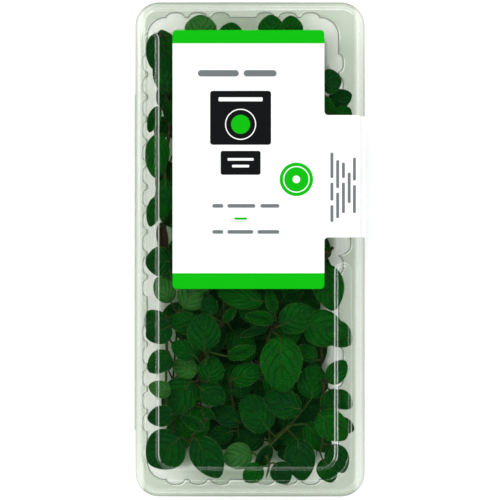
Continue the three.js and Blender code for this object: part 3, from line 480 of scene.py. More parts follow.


# One side of the leaves. Shades run from the oldest leaves to the youngest. The midrib is paler
# towards the stalk, the side veins lie sunken, and short hairs catch the light as pale specks. On the
# face the veins' dark colour is partly their own and partly painted shade in their furrows.
def leafMaterial(name, shades, ribShade, veinShade, veinShare, veinRelief, hairShare):
    material, tree, place = startMaterial(name)
    leafMap = put(tree, "ShaderNodeUVMap", {}, uv_map="leafMap").outputs[0]
    veins = put(tree, "ShaderNodeGroup", {"Leaf Map": leafMap}, node_tree=leafVeins).outputs
    mottle = noise(tree, place, *leafSkin["mottle"])
    shift = spread(tree, mottle, *leafSkin["mottleEdge"], -leafSkin["toneShift"], leafSkin["toneShift"])
    tone = calc(tree, "ADD", carried(tree, "leafTone"), shift)
    ramp = put(tree, "ShaderNodeValToRGB", {0: tone})
    for index, shade in enumerate(shades):
        if 0 < index < len(shades) - 1:
            ramp.color_ramp.elements.new(index / (len(shades) - 1))
        ramp.color_ramp.elements[index].color = shade
    green = mixColour(tree, spread(tree, tone, *leafSkin["dryEdge"]), ramp.outputs[0], leafSkin["dry"])
    furrow = calc(tree, "MAXIMUM", veins["Side"], times(tree, veins["Net"], leafSkin["netShare"]))
    faded = times(tree, furrow, spread(tree, mottle, *leafSkin["veinEdge"], veinShare / 2, veinShare))
    # Veins take veinShade: on the face partly their own colour and partly painted shade in the furrows.
    colour = mixColour(tree, faded, green, veinShade)
    young = spread(tree, veins["Along"], *leafSkin["paleRib"], 1.0, 0.0)
    midrib = mixColour(tree, young, veinShade, ribShade)
    colour = mixColour(tree, times(tree, veins["Rib"], veinShare), colour, midrib)
    colour = mixColour(tree, times(tree, veins["Rim"], leafSkin["rimShare"]), colour, ribShade)
    follicles = put(tree, "ShaderNodeTexVoronoi", {"Vector": place, "Scale": leafSkin["dotScale"]}).outputs
    chosen = put(tree, "ShaderNodeSeparateColor", {0: follicles["Color"]}).outputs[0]
    dots = spread(tree, follicles["Distance"], *leafSkin["dotEdge"])
    hairs = times(tree, dots, spread(tree, chosen, *leafSkin["dotted"]))
    colour = mixColour(tree, times(tree, hairs, hairShare), colour, leafSkin["dot"])
    height = times(tree, calc(tree, "MAXIMUM", veins["Rib"], veins["Side"]), veinRelief)
    for socket, share in (
        (veins["Net"], veinRelief * leafSkin["netRelief"]),
        (veins["Pillow"], veinRelief * leafSkin["pillowRelief"]),
        (noise(tree, place, leafSkin["grain"]), leafSkin["grainRelief"]),
    ):
        height = calc(tree, "MULTIPLY_ADD", socket, share, height)
    normal = relief(tree, *leafSkin["relief"], height)
    roughness = spread(tree, mottle, *leafSkin["mottleEdge"], *leafSkin["roughness"])
    setSkin(tree, colour, roughness, leafSkin["mirror"], {"Normal": normal})
    return material


# Stems are green near the tip of a shoot and brown to purple further down.
def stemMaterial():
    settings = {
        "old": swatch(46, 28, 24), "young": swatch(44, 84, 26), "bark": swatch(84, 66, 46),
        "blotch": (240.0, 4.0, 0.6), "blotchEdge": (0.35, 0.65), "toneShift": 0.3,
        "stretch": (1.0, 0.12, 1.0), "streak": (2600.0, 2.0),
        "barkEdge": (0.5, 0.7), "barkShare": 0.35, "relief": (0.5, 0.0002), "roughness": 0.6, "mirror": 0.05,
    }
    material, tree, place = startMaterial("stemSkin")
    blotch = noise(tree, place, *settings["blotch"])
    streak = noise(tree, calcVector(tree, "MULTIPLY", place, settings["stretch"]), *settings["streak"])
    shift = spread(tree, blotch, *settings["blotchEdge"], -settings["toneShift"], settings["toneShift"])
    tone = calc(tree, "ADD", carried(tree, "leafTone"), shift, clamp=True)
    colour = mixColour(tree, tone, settings["old"], settings["young"])
    bark = spread(tree, streak, *settings["barkEdge"], 0.0, settings["barkShare"])
    colour = mixColour(tree, bark, colour, settings["bark"])
    normal = relief(tree, *settings["relief"], streak)
    setSkin(tree, colour, settings["roughness"], settings["mirror"], {"Normal": normal})
    return material


# Fine pale hairs on the leaves and young stems.
def hairMaterial():
    settings = {
        "dark": swatch(46, 96, 50), "pale": swatch(128, 158, 118), "mix": (400.0, 2.0),
        "mixEdge": (0.35, 0.65), "roughness": 0.5, "mirror": 0.2,
    }
    material, tree, place = startMaterial("leafHair")
    shade = spread(tree, noise(tree, place, *settings["mix"]), *settings["mixEdge"])
    colour = mixColour(tree, shade, settings["dark"], settings["pale"])
    setSkin(tree, colour, settings["roughness"], settings["mirror"], {})
    return material


clearSheet = clearSheetMaterial()
labelPaper = labelPaperMaterial()
plainPaper = plainPaperMaterial()
leafFace = leafMaterial(
    "leafFace", [swatch(3, 56, 20), swatch(2, 67, 13), swatch(4, 84, 9), swatch(10, 106, 7)],
    ribShade=swatch(64, 104, 34), veinShade=swatch(1, 30, 4),
    veinShare=0.5, veinRelief=-1.0, hairShare=0.34,
)
leafBack = leafMaterial(
    "leafBack", [swatch(40, 92, 44), swatch(44, 104, 40), swatch(52, 116, 38)],
    ribShade=swatch(110, 140, 76), veinShade=swatch(82, 130, 72),
    veinShare=0.6, veinRelief=1.0, hairShare=0.2,
)
stemSkin = stemMaterial()
leafHair = hairMaterial()
print("materials made")


# The tray. Levels run from the flange's edge down the wall to the floor.
flange = {
    "left": -46.05, "right": 46.6, "halfLength": 99.8, "corner": 9.5, "arcSteps": 10,
    # The flanges' cut edge has a negative crease: a faint painted shade along it.
    "rimWidth": 0.7, "cutEdgeShade": -0.15,
}
tub = {
    "centreX": -2.6, "centreY": 0.35, "halfX": 38.1, "halfY": 92.9,
    "corner": 7, "cornerTaper": 0.36, "arcSteps": 8,
    "mouthZ": 21.85, "footInset": 3.4, "footZ": 3.2, "floorInset": 5.6,
    # How far each level of the brim's bend stands out past the wall, its height and its crease; the
    # negative creases paint a dark line along the brim, painted shade for its dark outline.
    "brim": [(0.75, 21.5, 0), (0.5, 21.46, 0.35), (0.3, 21.36, -0.1), (0.12, 21.2, -1), (0, 20.9, -0.1)],
    "wallSteps": 5, "fluteFade": 0.25,
    # How far each level of the heel stands in, how strong the flutes are there, its height and its crease.
    "heel": [
        (3.4, 0.75, 2.95, 0), (3.72, 0.72, 2.05, 0.12), (4.25, 0.64, 1.2, 0.12), (4.95, 0.56, 0.5, 0.12),
        (5.6, 0.5, 0.12, 0), (6.5, 0.3, 0, 0),
    ],
    "heelTuck": 0.27,
}
flute = {
    "pitch": 9.09, "halfWidth": 3.5, "depth": 1.9, "flank": 0.25, "flat": 2.6, "steep": 0.6,
    "steps": [-1, -0.93, -0.84, -0.72, -0.6, -0.48, -0.3, 0, 0.3, 0.48, 0.6, 0.72, 0.84, 0.93, 1],
}
thumb = {"halfWidth": 4.9, "depth": 5}
longFlutes = {"first": 75, "count": 17, "missing": 11, "thumb": 8}
shortFlutes = [-3, -2, -1, 1, 2, 3]
sheet = {"thick": 0.35, "solid": 0.6, "flangeUnder": 21.5}


def flangeLoop(inset, z):
    return roundedLoop(
        flange["left"] + inset, flange["right"] - inset, -flange["halfLength"] + inset,
        flange["halfLength"] - inset, flange["corner"] - inset, z, flange["arcSteps"],
    )


# One side of the tub along its length, pushed out in a soft-edged flute at each given place.
def flutedSide(centres, scale, widen, bulge):
    side = []
    for at, halfWidth, depth in centres:
        for along in flute["steps"]:
            out = (1 - abs(along) ** flute["flat"]) ** flute["steep"]
            side.append((at * scale + along * (halfWidth * scale + widen), out * depth * bulge))
    return side


# The tub's wall at a height: how far it stands in from the mouth and how strong the flutes are there.
def tubLoop(inset, bulge, offset, z):
    corner = tub["corner"] - tub["cornerTaper"] * inset + offset
    halfX = tub["halfX"] - inset + offset
    halfY = tub["halfY"] - inset + offset
    widen = flute["flank"] * (offset / sheet["solid"])
    plain = (flute["halfWidth"], flute["depth"])
    notch = (thumb["halfWidth"], thumb["depth"])
    rightOnes, leftOnes = [], []
    for i in reversed(range(longFlutes["count"])):
        if i != longFlutes["missing"]:
            at = longFlutes["first"] - i * flute["pitch"]
            rightOnes.append((at, *(notch if i == longFlutes["thumb"] else plain)))
            leftOnes.append((at, *plain))
    scaleY = (halfY - corner) / (tub["halfY"] - tub["corner"])
    scaleX = (halfX - corner) / (tub["halfX"] - tub["corner"])
    right = flutedSide(rightOnes, scaleY, widen, bulge)
    left = flutedSide(leftOnes, scaleY, widen, bulge)
    ends = flutedSide([(i * flute["pitch"], *plain) for i in shortFlutes], scaleX, widen, bulge)
    quarter, steps = math.pi / 2, tub["arcSteps"]
    loop = (
        arcPoints(halfX - corner, -halfY + corner, corner, -quarter, quarter, steps, z)
        + [Vector((halfX + out, along, z)) for along, out in right]
        + arcPoints(halfX - corner, halfY - corner, corner, 0, quarter, steps, z)
        + [Vector((along, halfY + out, z)) for along, out in reversed(ends)]
        + arcPoints(-halfX + corner, halfY - corner, corner, quarter, quarter, steps, z)
        + [Vector((-halfX - out, along, z)) for along, out in reversed(left)]
        + arcPoints(-halfX + corner, -halfY + corner, corner, math.pi, quarter, steps, z)
        + [Vector((along, -halfY - out, z)) for along, out in ends]
    )
    middle = Vector((tub["centreX"], tub["centreY"], 0))
    return [point + middle for point in loop]


def makeTray():
    brim, heel, offset = tub["brim"], tub["heel"], sheet["solid"]
    bm = bmesh.new()
    edge = startLoop(bm, flangeLoop(0, sheet["flangeUnder"]), crease=flange["cutEdgeShade"])
    inner = nextLoop(bm, edge, flangeLoop(flange["rimWidth"], sheet["flangeUnder"]))
    ring = startLoop(bm, tubLoop(0, 1, offset + brim[0][0], brim[0][1]), crease=brim[0][2])
    fillFlat(bm, inner + ring)
    for out, z, crease in brim[1:]:
        ring = nextLoop(bm, ring, tubLoop(0, 1, offset + out, z), crease)
    top, foot = brim[-1][1], heel[0][2]
    for i in range(1, tub["wallSteps"]):
        share = i / tub["wallSteps"]
        z = top + (foot - top) * share
        ring = nextLoop(bm, ring, tubLoop(tub["footInset"] * share, 1 - tub["fluteFade"] * share, offset, z))
    for index, (inset, bulge, z, crease) in enumerate(heel):
        under = offset - tub["heelTuck"] * index / (len(heel) - 1)
        ring = nextLoop(bm, ring, tubLoop(inset, bulge, under, z), crease)
    fillFlat(bm, ring)
    faceUp(bm, up=False)
    tray = makePiece("trayShell", bm, [clearSheet])
    thicken(tray, sheet["thick"], -1, even=False)
    smoothShade(tray)
    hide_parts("tray")
    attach(tray, "tray")


makeTray()
print("tray formed")


# The lid. Its wall rises from the flange to a rounded shoulder, and a groove stiffens the top.
lid = {
    "flangeZ": 22.5,
    "top": 30,
    # How far each level stands in from the flange's edge, its height and its crease.
    "levels": [
        (1.2, 22.5, 0), (1.62, 22.54, 0.1), (1.88, 22.68, 0.7), (2.02, 22.95, 0), (2.1, 23.4, 0),
        (2.45, 26, 0), (2.8, 28.35, 0), (2.92, 28.85, 0), (3.12, 29.3, 0), (3.4, 29.66, 0.45),
        (3.7, 29.88, 0.3), (4.1, 29.98, 0), (4.7, 30, 0),
    ],
}
groove = {
    "left": -39.6, "right": 37.5, "front": -90.5, "leftEnd": 84, "rightEnd": -8.7, "corner": 8.7,
    # Half width of the groove, its depth and its crease at each level.
    "levels": [
        (3.72, 0, 0), (3.46, 0.02, 0), (3.3, 0.1, 0.95), (3.16, 0.24, 0.95), (3.02, 0.42, 0), (2.5, 1.06, 0),
        (2.3, 1.28, 0), (2.14, 1.4, 0.4), (1.88, 1.485, 0), (1.55, 1.5, 0),
    ],
    "frontHalf": 6, "frontShine": 0.15, "arcSteps": 8, "endSteps": 10,
}


# Plan of the U-shaped groove as a band of the given half width.
def grooveLoop(half, z):
    left, right, front, corner = (groove[key] for key in ("left", "right", "front", "corner"))
    quarter, steps, ends = math.pi / 2, groove["arcSteps"], groove["endSteps"]
    return (
        arcPoints(left + corner, front + corner, corner + half, math.pi, quarter, steps, z)
        + arcPoints(right - corner, front + corner, corner + half, -quarter, quarter, steps, z)
        + arcPoints(right, groove["rightEnd"], half, 0, math.pi, ends, z)
        + arcPoints(right - corner, front + corner, corner - half, 0, -quarter, steps, z)
        + arcPoints(left + corner, front + corner, corner - half, -quarter, -quarter, steps, z)
        + arcPoints(left, groove["leftEnd"], half, 0, math.pi, ends, z)
    )


# The groove's front arm was pressed with softer bends than its long sides, so these shine less.
def dimFrontBends(bm):
    creases = bm.verts.layers.float["crease"]
    for corner in bm.verts:
        if corner.co.z < lid["top"] and abs(corner.co.y - groove["front"]) < groove["frontHalf"]:
            corner[creases] *= groove["frontShine"]


def makeLid():
    bm = bmesh.new()
    ring = startLoop(bm, flangeLoop(0, lid["flangeZ"]), crease=flange["cutEdgeShade"])
    for inset, z, crease in lid["levels"]:
        ring = nextLoop(bm, ring, flangeLoop(inset, z), crease)
    half, depth, crease = groove["levels"][0]
    trough = startLoop(bm, grooveLoop(half, lid["top"] - depth), crease=crease)
    fillFlat(bm, ring + trough)
    for half, depth, crease in groove["levels"][1:]:
        trough = nextLoop(bm, trough, grooveLoop(half, lid["top"] - depth), crease)
    fillFlat(bm, trough)
    dimFrontBends(bm)
    faceUp(bm, up=True)
    shell = makePiece("lidShell", bm, [clearSheet])
    thicken(shell, sheet["thick"], -1, even=False)
    smoothShade(shell)
    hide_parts("lid")
    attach(shell, "lid")


makeLid()
print("lid formed")


# The folded film that joins the two flanges.
film = {
    "x": -46.6, "z": 22, "fromY": -73, "toY": 62.4, "root": -45.7, "lip": -46.2, "reach": 0.12, "drop": 0.35,
    "bulge": 0.3, "bendSteps": 8, "lengthSteps": 30, "thick": 0.2,
}


def makeHinge():
    low = [(film[key], film["z"] - film["drop"]) for key in ("root", "lip")]
    fold = []
    for i in range(1, film["bendSteps"]):
        angle = math.pi * i / film["bendSteps"]
        x = film["x"] + film["reach"] - film["bulge"] * math.sin(angle)
        fold.append((x, film["z"] - film["drop"] * math.cos(angle)))
    high = [(x, 2 * film["z"] - z) for x, z in reversed(low)]
    path = low + fold + high
    bm = bmesh.new()
    chain = startLoop(bm, [Vector((x, film["fromY"], z)) for x, z in path], closed=False)
    for i in range(1, film["lengthSteps"] + 1):
        y = film["fromY"] + (film["toY"] - film["fromY"]) * i / film["lengthSteps"]
        chain = nextLoop(bm, chain, [Vector((x, y, z)) for x, z in path])
    bmesh.ops.recalc_face_normals(bm, faces=bm.faces)
    strip = makePiece("hingeFilm", bm, [clearSheet])
    thicken(strip, film["thick"], 0)
    smoothShade(strip)
    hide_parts("hinge")
    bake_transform(strip, "tray", "lid", start=(-0.0466, 0, 0.0218), end=(-0.0466, 0, 0.0222))


makeHinge()
print("hinge folded")


# Paper label. Its tail leaves the sheet between two small fillets and is folded over the lid's edge.
paper = {
    "thick": 0.14, "face": 30.1, "left": -30.7, "right": 30, "back": 87.7, "front": -15.8,
    "corner": 1.6, "arcSteps": 6,
}
tail = {"back": 53.7, "front": 4.8, "fillet": 1.5, "arcSteps": 5, "rows": 12}
# The paper's face against the plastic, from the sheet to the lower edge of the lid's flange.
foldOver = [
    (36, 30.1), (40, 30.1), (42.1, 30.1), (42.6, 30.06), (43, 29.95), (43.35, 29.74), (43.62, 29.42),
    (43.78, 29), (43.86, 28.5), (44.2, 26.1), (44.62, 23.4), (44.72, 23.02), (44.95, 22.88),
    (45.4, 22.85), (46.2, 22.85), (46.5, 22.83), (46.66, 22.72), (46.7, 22.5), (46.7, 22.25),
]
# And on from the upper edge of the tray's flange to the tail's end below it.
foldUnder = [
    (46.7, 21.75), (46.7, 21.5), (46.66, 21.3), (46.5, 21.17), (46.2, 21.15), (44.5, 21.15), (41.6, 21.15),
]


# Plan of the label's flat part, anticlockwise from the back of the tail's root to the front of it.
def labelPlan():
    z, quarter, small = paper["face"], math.pi / 2, tail["fillet"]
    left, right, front, back, corner = (paper[key] for key in ("left", "right", "front", "back", "corner"))
    steps, few = paper["arcSteps"], tail["arcSteps"]
    return [
        *arcPoints(right + small, tail["back"] + small, small, -quarter, -quarter, few, z),
        *arcPoints(right - corner, back - corner, corner, 0, quarter, steps, z),
        *arcPoints(left + corner, back - corner, corner, quarter, quarter, steps, z),
        *arcPoints(left + corner, front + corner, corner, math.pi, quarter, steps, z),
        *arcPoints(right - corner, front + corner, corner, -quarter, quarter, steps, z),
        *arcPoints(right + small, tail["front"] - small, small, math.pi, -quarter, few, z),
    ]


# Places across the tail, from its front edge to its back one.
def tailPlaces():
    front, width, rows = tail["front"], tail["back"] - tail["front"], tail["rows"]
    return [front + width * i / rows for i in range(rows + 1)]


# The edge where the tail goes on is divided as the tail is, so that the tail grows out of the sheet.
def makeLabel():
    ys = tailPlaces()
    bm = bmesh.new()
    outline = startLoop(bm, labelPlan(), closed=False)
    bm.verts.ensure_lookup_table()
    first, last = bm.verts[0], bm.verts[len(bm.verts) - 1]
    inner = [last] + [bm.verts.new((last.co.x, y, paper["face"])) for y in ys[1:-1]] + [first]
    place = bm.verts.layers.int.verify()
    for index, corner in enumerate(inner):
        corner[place] = index
    chain = [bm.edges.new(pair) for pair in zip(inner, inner[1:])]
    fillFlat(bm, outline + chain)
    for x, z in foldOver:
        chain = nextLoop(bm, chain, [Vector((x, y, z)) for y in ys])
    faceUp(bm, up=True)
    label = makePiece("labelSheet", bm, [labelPaper, plainPaper])
    thicken(label, paper["thick"], 1, backMaterial=1)
    smoothShade(label)
    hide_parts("label")
    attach(label, "lid")


def makeSeal():
    ys = tailPlaces()
    bm = bmesh.new()
    startX, startZ = foldUnder[0]
    chain = startLoop(bm, [Vector((startX, y, startZ)) for y in ys], closed=False)
    for x, z in foldUnder[1:]:
        chain = nextLoop(bm, chain, [Vector((x, y, z)) for y in ys])
    faceUp(bm, up=False)
    seal = makePiece("labelSeal", bm, [plainPaper])
    thicken(seal, paper["thick"], 1)
    smoothShade(seal)
    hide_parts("seal")
    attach(seal, "tray")


makeLabel()
makeSeal()
print("label folded over the edge")


# The herb's sizes and the gaps that it keeps to what lies around it, in millimetres. Blades, stems and
# stalks are sampled at small steps when room is looked for.
herb = {
    "stemRadius": 0.75, "stalkRadius": 0.5, "bladeThick": 0.66, "stemStep": 11, "routeSteps": 200, "seed": 46,
    "clear": 0.35, "wallGap": 0.7, "barGap": 0.2, "stalkGap": 0.1, "noRoom": 100, "stalkJoin": 0.16,
    "bladeSample": 0.8, "bladeMargin": 1.06, "stemSample": 0.5, "stalkSample": 0.4,
    "widestAt": 0.84, "blunt": 0.58,
}
# Shapes of the leaves that hang under the lid, as for the filling leaves below. A narrow blade is one
# that is seen from its side, and it is folded.
hanging = {
    "pitch": 0.16, "droop": -0.12, "fold": 0.24, "foldFrom": 0.7, "narrow": 6, "narrowFold": 0.7,
    "roll": 0.24, "sink": 0.6,
}
# Leaves of the filling sprigs: the ranges that each trial draws from. Lengths in millimetres or as
# a share of the sprig's leaf size, angles in radians, and rises as a share of the blade's length.
filling = {
    "trials": 30, "shrink": 0.014, "taper": 0.28, "steepestStalk": 1.6, "firstPair": 0.6, "pastLast": 0.1,
    "turn": (0.4, 1.7), "stalk": (2, 7.5), "length": (0.85, 1.1), "width": (0.74, 0.86), "sink": (0, 0.9),
    "pitch": (-0.12, 0.18), "droop": (-0.16, 0), "fold": (-0.144, 0.096), "roll": (-0.15, 0.15),
}
# How much an uncovered place counts when leaves are chosen, and how much is left under a deep leaf.
openness = {"window": 4, "underLabel": 1, "labelMargin": 2, "underDeepLeaf": 0.45}
lidWall = {"skirtInset": 1.9, "skirtZ": 22.15, "shoulderInset": 2.9, "shoulderZ": 29.1, "edge": 0.1}
channel = {"mouthHalf": 3.3, "depth": 1.5, "margin": 1.2, "frontMargin": 2}
lidPlan = {
    "left": flange["left"], "right": flange["right"],
    "front": -flange["halfLength"], "back": flange["halfLength"], "corner": flange["corner"],
}
mouthPlan = {
    "left": tub["centreX"] - tub["halfX"], "right": tub["centreX"] + tub["halfX"],
    "front": tub["centreY"] - tub["halfY"], "back": tub["centreY"] + tub["halfY"], "corner": tub["corner"],
}


# How deep a point lies inside a rounded rectangle, negative outside it.
def depthInside(x, y, plan):
    corner = plan["corner"]
    dx = abs(x - (plan["left"] + plan["right"]) / 2) - (plan["right"] - plan["left"]) / 2 + corner
    dy = abs(y - (plan["front"] + plan["back"]) / 2) - (plan["back"] - plan["front"]) / 2 + corner
    return corner - math.hypot(max(dx, 0), max(dy, 0)) - min(max(dx, dy), 0)


# How high the herb may reach under the lid at a place, and further down how low it may lie in the tray.
def lidRoom(x, y):
    inside = depthInside(x, y, lidPlan) - lidWall["skirtInset"] - sheet["solid"] - herb["wallGap"]
    if inside < lidWall["edge"]:
        return -herb["noRoom"]
    rise = lidWall["shoulderZ"] - lidWall["skirtZ"]
    slope = rise / (lidWall["shoulderInset"] - lidWall["skirtInset"])
    reach = channel["mouthHalf"] + channel["margin"]
    onLeft = abs(x - groove["left"]) < reach and y < groove["leftEnd"] + reach
    onRight = abs(x - groove["right"]) < reach and y < groove["rightEnd"] + reach
    onFront = abs(y - groove["front"]) < reach + channel["frontMargin"]
    under = lid["top"] - sheet["solid"] - (channel["depth"] if onLeft or onRight or onFront else 0)
    return min(under, lidWall["skirtZ"] + slope * inside)


def trayRoom(x, y):
    inside = depthInside(x, y, mouthPlan) - herb["wallGap"]
    if inside < 0:
        return tub["mouthZ"]
    if inside < tub["footInset"]:
        return tub["mouthZ"] - (tub["mouthZ"] - tub["footZ"]) * inside / tub["footInset"]
    fall = (inside - tub["footInset"]) / (tub["floorInset"] - tub["footInset"])
    return max(tub["footZ"] - (tub["footZ"] - sheet["solid"]) * fall, sheet["solid"])


# Square cells of 1 mm hold the free height at each place, and how open the view down to it is.
cells = {"fromX": -48, "fromY": -100, "countX": 96, "countY": 200}


def cellOf(x, y):
    i = min(max(math.floor(x - cells["fromX"]), 0), cells["countX"] - 1)
    j = min(max(math.floor(y - cells["fromY"]), 0), cells["countY"] - 1)
    return i * cells["countY"] + j


middles = [
    (cells["fromX"] + i + 0.5, cells["fromY"] + j + 0.5)
    for i in range(cells["countX"]) for j in range(cells["countY"])
]
ceiling = [lidRoom(x, y) for x, y in middles]
ground = [trayRoom(x, y) for x, y in middles]
hidden = [depthInside(x, y, paper) > openness["labelMargin"] for x, y in middles]
openView = [openness["underLabel" if under else "window"] for under in hidden]


def seededDraws(seed):
    state = seed
    while True:
        state = (state * 1664525 + 1013904223) % 4294967296
        yield state / 4294967296


# Half width of a rounded, egg-shaped blade, as a share of its widest half.
def bladeHalf(u):
    return max(math.sin(math.pi * u ** herb["widestAt"]), 0) ** herb["blunt"]


# Points across a blade over its base's height. The share u runs along the midrib, and the places lie
# across it from -1 to 1.
def bladeRow(leaf, u, places):
    along = leaf["length"] * u
    half = (leaf["width"] / 2) * bladeHalf(u)
    cos, sin = math.cos(leaf["angle"]), math.sin(leaf["angle"])
    x, y = leaf["x"] + along * cos, leaf["y"] + along * sin
    rise = leaf["length"] * (leaf["pitch"] * u + leaf["droop"] * u * u)
    fold, roll = leaf["fold"], leaf["roll"]
    return [
        (x - half * v * sin, y + half * v * cos, rise + half * (fold * abs(v) + roll * v))
        for v in places
    ]


def bladePoint(leaf, u, v):
    return bladeRow(leaf, u, [v])[0]


def bladeSamples(leaf):
    steps = math.ceil(leaf["length"] / herb["bladeSample"])
    rows = math.ceil(leaf["width"] / herb["bladeSample"])
    places = [herb["bladeMargin"] * (-1 + 2 * j / rows) for j in range(rows + 1)]
    return [point for i in range(steps + 1) for point in bladeRow(leaf, i / steps, places)]


# Lowest and highest height that the base may have, with the blade clear of all that lies around.
def seatRange(leaf):
    reach = leaf["thick"] / 2 + herb["clear"]
    low, high = -herb["noRoom"], herb["noRoom"]
    for x, y, rise in bladeSamples(leaf):
        cell = cellOf(x, y)
        high = min(high, ceiling[cell] - reach - rise)
        low = max(low, ground[cell] + reach - rise)
    return low, high


def mark(points, reach):
    return [(cellOf(x, y), z - reach, z + reach) for x, y, z in points]


# What hangs from above lowers the ceiling, and what lies below raises the ground.
def settle(marks, fromBelow):
    for cell, below, above in marks:
        if fromBelow:
            ground[cell] = max(ground[cell], above)
        else:
            ceiling[cell] = min(ceiling[cell], below)


# The cells that a blade lies over.
def cellsUnder(leaf):
    return dict.fromkeys(cellOf(x, y) for x, y, rise in bladeSamples(leaf))


def gainOf(leaf):
    return sum(openView[cell] for cell in cellsUnder(leaf))


def cover(leaf, left):
    for cell in cellsUnder(leaf):
        openView[cell] *= left


def between(a, b, share):
    return [value + (b[i] - value) * share for i, value in enumerate(a)]


def walk(start, end, step):
    count = max(1, math.ceil(math.hypot(*(b - a for a, b in zip(start, end))) / step))
    return [between(start, end, i / count) for i in range(count + 1)]


# A point on the smooth curve through the given ones.
def bend(route, share):
    at = share * (len(route) - 1)
    index = min(math.floor(at), len(route) - 2)
    t = at - index
    before, start, end, after = (route[min(max(index + step, 0), len(route) - 1)] for step in (-1, 0, 1, 2))
    point = []
    for i, value in enumerate(start):
        slope = (end[i] - before[i]) / 2
        nextSlope = (after[i] - value) / 2
        gap = end[i] - value
        bow = 3 * gap - 2 * slope - nextSlope
        twist = slope + nextSlope - 2 * gap
        point.append(value + t * (slope + t * (bow + t * twist)))
    return point


def stemPlan(route):
    steps = herb["routeSteps"]
    fine = [bend(route, i / steps) for i in range(steps + 1)]
    runs = [0] + [math.dist(a, b) for a, b in zip(fine, fine[1:])]
    length = sum(runs)
    count = max(2, math.floor(length / herb["stemStep"] + 0.5))
    plan, walked = [fine[0]], 0
    for point, run in zip(fine[1:], runs[1:]):
        if len(plan) >= count:
            break
        walked += run
        if walked >= length * len(plan) / count:
            plan.append(point)
    return plan + [fine[-1]]


# A stem's points along the longest stretch of its route that has room for it.
def stemLine(route, share):
    plan = stemPlan(route)
    reach = herb["stemRadius"] + herb["clear"]
    spans = []
    for start, end in zip(plan, plan[1:]):
        low, high = -herb["noRoom"], herb["noRoom"]
        for x, y in walk(start, end, herb["stemSample"]):
            for dx, dy in ((0, 0), (reach, 0), (-reach, 0), (0, reach), (0, -reach)):
                cell = cellOf(x + dx, y + dy)
                high = min(high, ceiling[cell] - reach)
                low = max(low, ground[cell] + reach)
        spans.append((low, high))
    best, run = [], []
    for i, (x, y) in enumerate(plan):
        near = spans[max(i - 1, 0):i + 1]
        low, high = max(span[0] for span in near), min(span[1] for span in near)
        run = run + [[x, y, low + (high - low) * share]] if low <= high else []
        best = run if len(run) > len(best) else best
    return best


# True if a round bar from one point to another stays in the free room.
def fits(start, end, radius):
    reach = radius + herb["barGap"]
    for x, y, z in walk(start, end, herb["stalkSample"]):
        cell = cellOf(x, y)
        if z + reach > ceiling[cell] or z - reach < ground[cell]:
            return False
    return True


def stalkEnd(leaf):
    x, y, rise = bladePoint(leaf, herb["stalkJoin"], 0)
    return [x, y, leaf["z"] + rise]


def stemPlaces(line):
    step = herb["stemSample"]
    return [place for start, end in zip(line, line[1:]) for place in walk(start, end, step)]


def bladePlaces(leaf):
    return [(x, y, rise + leaf["z"]) for x, y, rise in bladeSamples(leaf)]


def settleStem(line, fromBelow):
    settle(mark(stemPlaces(line), herb["stemRadius"] + herb["barGap"]), fromBelow)


def settleStalk(leaf, fromBelow):
    places = walk(leaf["root"], stalkEnd(leaf), herb["stalkSample"])
    settle(mark(places, herb["stalkRadius"] + herb["stalkGap"]), fromBelow)


# The nearest place on a stem from which a stalk to the blade isn't too steep.
def nearestRoot(line, leaf):
    best, least = None, math.inf
    for place in stemPlaces(line):
        apart = math.hypot(place[0] - leaf["x"], place[1] - leaf["y"])
        if apart < least and abs(place[2] - leaf["z"]) < apart * filling["steepestStalk"]:
            best, least = place, apart
    return best


def makeLeaf(x, y, angle, length, width, shape):
    steep = math.hypot(1, shape["pitch"] + shape["droop"], shape["fold"])
    return {
        "x": x, "y": y, "z": 0, "angle": angle, "length": length, "width": width,
        "thick": herb["bladeThick"] * steep, **shape,
    }


# The leaves hang close under the lid, the stem lies below them and stalks join the two.
def layLidSprig(sprig, draws):
    hung = []
    for x, y, tipX, tipY, width in sprig["leaves"]:
        shape = {"pitch": hanging["pitch"] * (next(draws) - 0.5), "droop": hanging["droop"] * next(draws)}
        if width < hanging["narrow"]:
            shape["fold"] = hanging["narrowFold"]
        else:
            shape["fold"] = hanging["fold"] * (next(draws) - hanging["foldFrom"])
        shape["roll"] = hanging["roll"] * (next(draws) - 0.5)
        angle = math.atan2(tipY - y, tipX - x)
        leaf = makeLeaf(x, y, angle, math.hypot(tipX - x, tipY - y), width, shape)
        leaf["sink"] = hanging["sink"] * next(draws)
        hung.append(leaf)
    own, kept = [], []
    before = list(ceiling)
    for leaf in hung:
        low, high = seatRange(leaf)
        if high >= low:
            leaf["z"] = max(low, high - leaf["sink"])
            kept.append(leaf)
            marks = mark(bladePlaces(leaf), leaf["thick"] / 2)
            settle(marks, False)
            own += marks
    line = stemLine(sprig["stem"], 1)
    ceiling[:] = before
    joined = []
    for leaf in kept:
        leaf["root"] = nearestRoot(line, leaf)
        if leaf["root"] is not None and fits(leaf["root"], stalkEnd(leaf), herb["stalkRadius"]):
            joined.append(leaf)
    settle(own, False)
    settleStem(line, False)
    for leaf in joined:
        settleStalk(leaf, False)
        cover(leaf, 0)
    return {"line": line, "leaves": joined}


# One trial of a leaf that turns out from the stem at its root.
def drawLeaf(root, ahead, side, longest, draws):
    def pick(key):
        low, high = filling[key]
        return low + (high - low) * next(draws)

    angle = ahead + side * pick("turn")
    stalk = pick("stalk")
    length = longest * pick("length")
    shape = {key: pick(key) for key in ("pitch", "droop", "fold", "roll")}
    x = root[0] + stalk * math.cos(angle)
    y = root[1] + stalk * math.sin(angle)
    leaf = makeLeaf(x, y, angle, length, length * pick("width"), shape)
    leaf["root"] = root
    leaf["sink"] = pick("sink")
    return leaf


